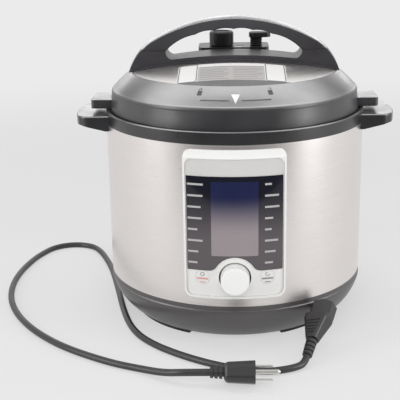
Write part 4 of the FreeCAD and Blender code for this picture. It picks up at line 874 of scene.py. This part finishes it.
@dataclass
class SoftParts:
    """The silicone bellows, seals and the sensor's spring, shaped as they really are."""

    book: FinishBook
    crease_angle: float = 60.0
    bellows_fold_share: float = 0.16
    bellows_folds: int = 4
    bellows_wall: float = 1.2 * MM
    bellows_steps: int = 48
    bellows_keep: float = 0.44
    spring_wire: float = 1.3 * MM
    spring_turns: int = 4
    spring_sides: int = 8
    spring_steps: int = 32
    spring_keep: float = 0.926
    seal_share: float = 0.4
    seal_segments: int = 3
    seal_angle: float = 25.0
    ring_softness: float = 0.22
    float_softness: float = 0.18

    def build(self) -> None:
        """Make the bellows, the spring and the two seals."""
        self._bellows()
        self._spring()
        self._seal("sealing_ring", self.ring_softness)
        self._seal("float_seal", self.float_softness)

    def _bellows(self) -> None:
        """The folded sleeve under the release button."""
        low, high = (Vector(corner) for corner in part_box("button_bellows"))
        centre = ((low.x + high.x) / 2.0, (low.y + high.y) / 2.0)
        outer = (high.x - low.x) / 2.0
        inner = outer * (1.0 - self.bellows_fold_share)
        rise = (high.z - low.z) / (2.0 * self.bellows_folds)
        outside = [((outer if count % 2 else inner), low.z + count * rise)
                   for count in range(2 * self.bellows_folds + 1)]
        inside = [(radius - self.bellows_wall, height) for radius, height in reversed(outside)]
        mesh = bmesh.new()
        knots = [mesh.verts.new((centre[0] + radius, centre[1], height))
                 for radius, height in outside + inside]
        edges = [mesh.edges.new(pair) for pair in zip(knots, knots[1:] + knots[:1])]
        bmesh.ops.spin(mesh, geom=knots + edges, cent=(*centre, 0.0), axis=UP, angle=FULL_TURN,
                       steps=self.bellows_steps, use_merge=True)
        bmesh.ops.remove_doubles(mesh, verts=mesh.verts, dist=SPIN_MERGE)
        bmesh.ops.recalc_face_normals(mesh, faces=mesh.faces)
        piece = new_piece("bellows_sleeve", mesh, frame["nodes"]["button_bellows"]["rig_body"])
        shade_by_angle(piece, self.crease_angle)
        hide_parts("button_bellows")
        self.book.paint(piece, self.book.slots["button_bellows"])
        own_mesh(piece)

    def _spring(self) -> None:
        """The coil that presses the sensor cap up."""
        low, high = (Vector(corner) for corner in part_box("sensor_spring"))
        radius = (high.x - low.x) / 2.0 - self.spring_wire / 2.0
        centre = Vector(((low.x + high.x) / 2.0, (low.y + high.y) / 2.0, 0.0))
        mesh = bmesh.new()
        bmesh.ops.create_circle(mesh, cap_ends=True, radius=self.spring_wire / 2.0,
                                segments=self.spring_sides)
        bmesh.ops.rotate(mesh, verts=mesh.verts, cent=ORIGIN,
                         matrix=Matrix.Rotation(math.radians(QUARTER_TURN), 3, "X"))
        start = centre + Vector((radius, 0.0, low.z + self.spring_wire / 2.0))
        bmesh.ops.translate(mesh, verts=mesh.verts, vec=start)
        steps = self.spring_steps * self.spring_turns
        climb = (high.z - low.z - self.spring_wire) / steps
        bmesh.ops.spin(mesh, geom=mesh.faces[:], cent=centre, axis=UP, dvec=(0.0, 0.0, climb),
                       angle=FULL_TURN * self.spring_turns, steps=steps)
        bmesh.ops.recalc_face_normals(mesh, faces=mesh.faces)
        piece = new_piece("spring_coil", mesh, frame["nodes"]["sensor_spring"]["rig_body"])
        shade_by_angle(piece, self.crease_angle)
        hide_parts("sensor_spring")
        self.book.paint(piece, self.book.slots["sensor_spring"])
        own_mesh(piece)

    def _seal(self, node: str, softness: float) -> None:
        """Round the edges of a silicone ring.

        Args:
            node: the ring's node.
            softness: the rounding as a share of the ring's height.
        """
        low, high = (Vector(corner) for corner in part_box(node))
        width = softness * self.seal_share * (high.z - low.z)
        piece = soft_copy(node, width, self.seal_segments, self.seal_angle)
        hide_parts(node)
        self.book.paint(piece, self.book.slots[node])


class LampRole(Enum):
    """What a soft box is there for."""

    BOTH = "light and shine"
    LIGHT = "light alone"
    SHINE = "shine alone"


@dataclass(frozen=True)
class SoftBox:
    """A soft box that faces the cooker; at level 1 its face is as bright as white."""

    name: str
    place: Point
    size: Flat
    level: float
    role: LampRole = LampRole.BOTH
    black_only: bool = False


SOFT_BOXES: Sequence[SoftBox] = (
    SoftBox("overhead", (0.0, 0.15, 1.4), (2.1, 0.9), 1.08, LampRole.LIGHT),
    SoftBox("top_shine", (0.0, 0.1, 1.3), (3.2, 0.9), 4.6, LampRole.SHINE, True),
    SoftBox("front_box", (0.0, -1.7, 1.25), (1.6, 0.9), 2.15, LampRole.LIGHT),
    SoftBox("back_box", (0.0, 1.7, 0.62), (2.4, 0.35), 2.4, LampRole.SHINE, True),
    SoftBox("back_shine", (0.0, 2.0, 1.35), (3.2, 0.9), 0.45, LampRole.SHINE),
    SoftBox("left_box", (-1.5, -0.8, 0.7), (0.6, 1.2), 3.2),
    SoftBox("right_box", (1.5, -0.7, 0.6), (0.6, 1.2), 3.0),
)


@dataclass
class Stage:
    """Floor, lights and the camera at the photograph's place."""

    plastics: Sequence[bpy.types.Object]
    camera_place: Point = (0.0, -1043.11 * MM, 430.35 * MM)
    yaw: float = -0.037
    pitch: float = 0.2931
    roll: float = -0.0169
    focal_pixels: float = 975.72
    image_pixels: float = 400.0
    sensor: float = 36.0
    clip_start: float = 0.05
    clip_end: float = 50.0
    lamp_target: Point = (0.0, 0.0, 0.2)
    floor_half: float = 6.0
    floor_drop: float = -0.3 * MM
    floor_tone: float = 0.8
    floor_glow: float = 0.62
    glow_start: float = 0.45
    glow_end: float = 1.6
    fill: float = 0.38
    flag_tone: float = 0.15
    flag_start: float = -0.62
    flag_back: float = -2.2
    flag_half: float = 2.2
    flag_height: float = 1.1
    flag_lift: float = 1.0 * MM
    backdrop: Colour = field(default_factory=lambda: linear(235, 235, 235))

    def build(self) -> None:
        """Make the floor, the dark cards, the lights, the world and the camera."""
        self._floor()
        self._flags()
        self._lights()
        self._world()
        self._camera()

    def _floor(self) -> None:
        """Lay a wide pale floor that keeps the object's shadow."""
        mesh = bmesh.new()
        bmesh.ops.create_grid(mesh, x_segments=1, y_segments=1, size=self.floor_half)
        bmesh.ops.translate(mesh, verts=mesh.verts, vec=(0.0, 0.0, self.floor_drop))
        floor = linked("floor", mesh)
        floor.data.materials.append(self._pale_floor())

    def _pale_floor(self) -> bpy.types.Material:
        """Make the floor's material, which takes on the backdrop's colour with distance.

        Returns:
            The new material.
        """
        made = bpy.data.materials.new("pale_floor")
        made.use_nodes = True
        tree = made.node_tree
        nodes, links = tree.nodes, tree.links
        nodes.clear()
        out = nodes.new("ShaderNodeOutputMaterial")
        grey = (self.floor_tone, self.floor_tone, self.floor_tone, OPAQUE)
        diffuse = added(tree, "ShaderNodeBsdfDiffuse", {"Color": grey})
        glow = added(tree, "ShaderNodeEmission", {"Color": (*self.backdrop, OPAQUE)})
        mix = nodes.new("ShaderNodeMixShader")
        reach = nodes.new("ShaderNodeVectorMath")
        reach.operation = "LENGTH"
        links.new(nodes.new("ShaderNodeTexCoord").outputs["Object"], reach.inputs[0])
        spread = added(tree, "ShaderNodeMapRange", {
            "From Min": self.glow_start, "From Max": self.glow_end, "To Min": self.floor_glow})
        spread.interpolation_type = "SMOOTHSTEP"
        links.new(reach.outputs["Value"], spread.inputs["Value"])
        share = nodes.new("ShaderNodeMath")
        share.operation = "MULTIPLY"
        links.new(self._seen(tree), share.inputs[0])
        links.new(spread.outputs["Result"], share.inputs[1])
        links.new(share.outputs["Value"], mix.inputs["Fac"])
        links.new(diffuse.outputs["BSDF"], mix.inputs[1])
        links.new(glow.outputs["Emission"], mix.inputs[2])
        links.new(mix.outputs["Shader"], out.inputs["Surface"])
        return made

    def _flags(self) -> None:
        """Put dark cards before the object, on the floor and upright, that only its shine shows."""
        mesh = bmesh.new()
        low = [mesh.verts.new((side * self.flag_half, self.flag_start, self.flag_lift))
               for side in (-1.0, 1.0)]
        edge = mesh.edges.new(low)
        for shift in ((0.0, self.flag_back - self.flag_start, 0.0), (0.0, 0.0, self.flag_height)):
            made = bmesh.ops.extrude_edge_only(mesh, edges=[edge])["geom"]
            moved = [item for item in made if isinstance(item, bmesh.types.BMVert)]
            bmesh.ops.translate(mesh, verts=moved, vec=shift)
            edge = next(item for item in made if isinstance(item, bmesh.types.BMEdge))
        cards = linked("front_flags", mesh)
        cards.visible_camera = False
        cards.visible_diffuse = False
        cards.visible_shadow = False
        tone = bpy.data.materials.new("flag_grey")
        tone.use_nodes = True
        tree = tone.node_tree
        tree.nodes.clear()
        out = tree.nodes.new("ShaderNodeOutputMaterial")
        glow = added(tree, "ShaderNodeEmission", {"Strength": self.flag_tone})
        tree.links.new(glow.outputs["Emission"], out.inputs["Surface"])
        cards.data.materials.append(tone)

    def _seen(self, tree: bpy.types.NodeTree) -> bpy.types.NodeSocket:
        """Tell the camera's and the mirrored rays from the rays that only carry light.

        Args:
            tree: the nodes and links of a material or a world.

        Returns:
            The socket that is 1 on rays that show the backdrop.
        """
        path = tree.nodes.new("ShaderNodeLightPath")
        seen = tree.nodes.new("ShaderNodeMath")
        seen.operation = "MAXIMUM"
        tree.links.new(path.outputs["Is Camera Ray"], seen.inputs[0])
        tree.links.new(path.outputs["Is Glossy Ray"], seen.inputs[1])
        return seen.outputs["Value"]

    def _lights(self) -> None:
        """Hang the soft boxes, two of which fall on the black plastics alone."""
        black = bpy.data.collections.new("black_plastics")
        for piece in self.plastics:
            black.objects.link(piece)
        for box in SOFT_BOXES:
            lamp = bpy.data.lights.new(box.name, "AREA")
            lamp.shape = "RECTANGLE"
            lamp.size, lamp.size_y = box.size
            lamp.energy = LAMP_POWER * box.size[0] * box.size[1] * box.level
            holder = bpy.data.objects.new(box.name, lamp)
            holder.location = box.place
            holder.visible_camera = False
            holder.visible_diffuse = box.role is not LampRole.SHINE
            holder.visible_glossy = box.role is not LampRole.LIGHT
            holder.light_linking.receiver_collection = black if box.black_only else None
            way = Vector(self.lamp_target) - Vector(box.place)
            holder.rotation_euler = way.to_track_quat("-Z", "Y").to_euler()
            bpy.context.scene.collection.objects.link(holder)

    def _world(self) -> None:
        """Light evenly from all round, and show the backdrop to the eye and in shiny faces."""
        world = bpy.data.worlds.new("studio")
        bpy.context.scene.world = world
        world.use_nodes = True
        tree = world.node_tree
        back = tree.nodes["Background"]
        back.inputs["Color"].default_value = (*self.backdrop, OPAQUE)
        level = added(tree, "ShaderNodeMapRange", {"To Min": self.fill})
        tree.links.new(self._seen(tree), level.inputs["Value"])
        tree.links.new(level.outputs["Result"], back.inputs["Strength"])

    def _camera(self) -> None:
        """Set the camera at the photograph's place, with its lens."""
        level = math.cos(self.pitch)
        ahead = Vector((math.sin(self.yaw) * level, math.cos(self.yaw) * level,
                        -math.sin(self.pitch)))
        right = ahead.cross(Vector(UP)).normalized()
        above = right.cross(ahead)
        across = right * math.cos(self.roll) + above * math.sin(self.roll)
        upright = above * math.cos(self.roll) - right * math.sin(self.roll)
        turn = Matrix((across, upright, -ahead)).transposed()
        data = bpy.data.cameras.new("photo_camera")
        data.sensor_width = self.sensor
        data.sensor_fit = "HORIZONTAL"
        data.lens = self.focal_pixels * self.sensor / self.image_pixels
        data.clip_start = self.clip_start
        data.clip_end = self.clip_end
        camera = bpy.data.objects.new("photo_camera", data)
        camera.matrix_world = Matrix.Translation(self.camera_place) @ turn.to_4x4()
        bpy.context.scene.collection.objects.link(camera)
        bpy.context.scene.camera = camera
        bpy.context.scene.view_settings.view_transform = "Standard"


@dataclass
class MainsLead:
    """The free cord between the plug and the appliance connector, with its route in mm."""

    book: FinishBook
    diameter: float = 7.0 * MM
    length: float = 1.057
    rest: float = 3.5
    order: int = 3
    round_steps: int = 6
    length_steps: int = 8
    plug_end: Sequence[Point] = (
        (-23.9, -218.0, 13.01), (-48.0, -218.0, 13.01), (-68.0, -206.5, 6.6))
    floor_route: Sequence[Flat] = (
        (-92.0, -191.6), (-118.0, -180.6), (-146.0, -163.5), (-174.0, -143.0), (-199.0, -118.6),
        (-221.0, -91.0), (-241.0, -57.0), (-256.0, -18.0), (-263.5, 26.0), (-263.0, 70.0),
        (-255.0, 115.0), (-247.0, 137.0), (-238.0, 156.0), (-222.4, 167.7), (-203.0, 169.8),
        (-185.3, 161.5), (-174.4, 145.4), (-163.0, 117.0), (-150.5, 78.0), (-137.5, 20.0),
        (-120.5, -62.0), (-105.5, -107.0), (-84.0, -137.0), (-52.0, -164.0), (-18.0, -184.5),
        (11.1, -195.0), (33.0, -197.0), (45.5, -194.0),
    )
    connector_end: Sequence[Point] = (
        (57.5, -189.0, 3.6), (66.68, -182.58, 4.45), (69.7, -174.2, 9.0))

    def build(self, end_pieces: Sequence[bpy.types.Object]) -> None:
        """Args:
            end_pieces: the plug's and the connector's pieces; not used.
        """
        on_floor = ((x, y, self.rest) for x, y in self.floor_route)
        route = [*self.plug_end, *on_floor, *self.connector_end]
        curve = bpy.data.curves.new("mains_cord", "CURVE")
        curve.dimensions = "3D"
        # The points carry the cord's radius, because the curve's box grows by the points' radius
        curve.bevel_depth = 1.0
        curve.bevel_resolution = self.round_steps
        curve.resolution_u = self.length_steps
        curve.use_fill_caps = True
        line = curve.splines.new("NURBS")
        line.points.add(len(route) - 1)
        for knot, place in zip(line.points, route):
            knot.co = (place[0] * MM, place[1] * MM, place[2] * MM, 1.0)
            knot.radius = self.diameter / 2.0
        line.order_u = self.order
        line.use_endpoint_u = True
        cord = bpy.data.objects.new("mains_cord", curve)
        bpy.context.scene.collection.objects.link(cord)
        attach(cord, "cooker")
        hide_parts("power_cord")
        self.book.paint(cord, "cord_black")
        LOG.info("laid the mains cord over %d points", len(route))


def main() -> None:
    """Build every sub-assembly."""
    logging.basicConfig(level=logging.INFO, format="%(name)s %(message)s")
    book = FinishBook()
    book.paint_nodes()
    softener = Softener(book)
    softener.build()
    SoftParts(book).build()
    PanelPrint(book).build()
    LidPrint(book).build()
    Stage([softener.made[name] for name in BLACK_PLASTICS]).build()
    MainsLead(book).build([softener.made.get(name, frame["nodes"][name]) for name in LEAD_ENDS])


if __name__ == "__main__":
    main()
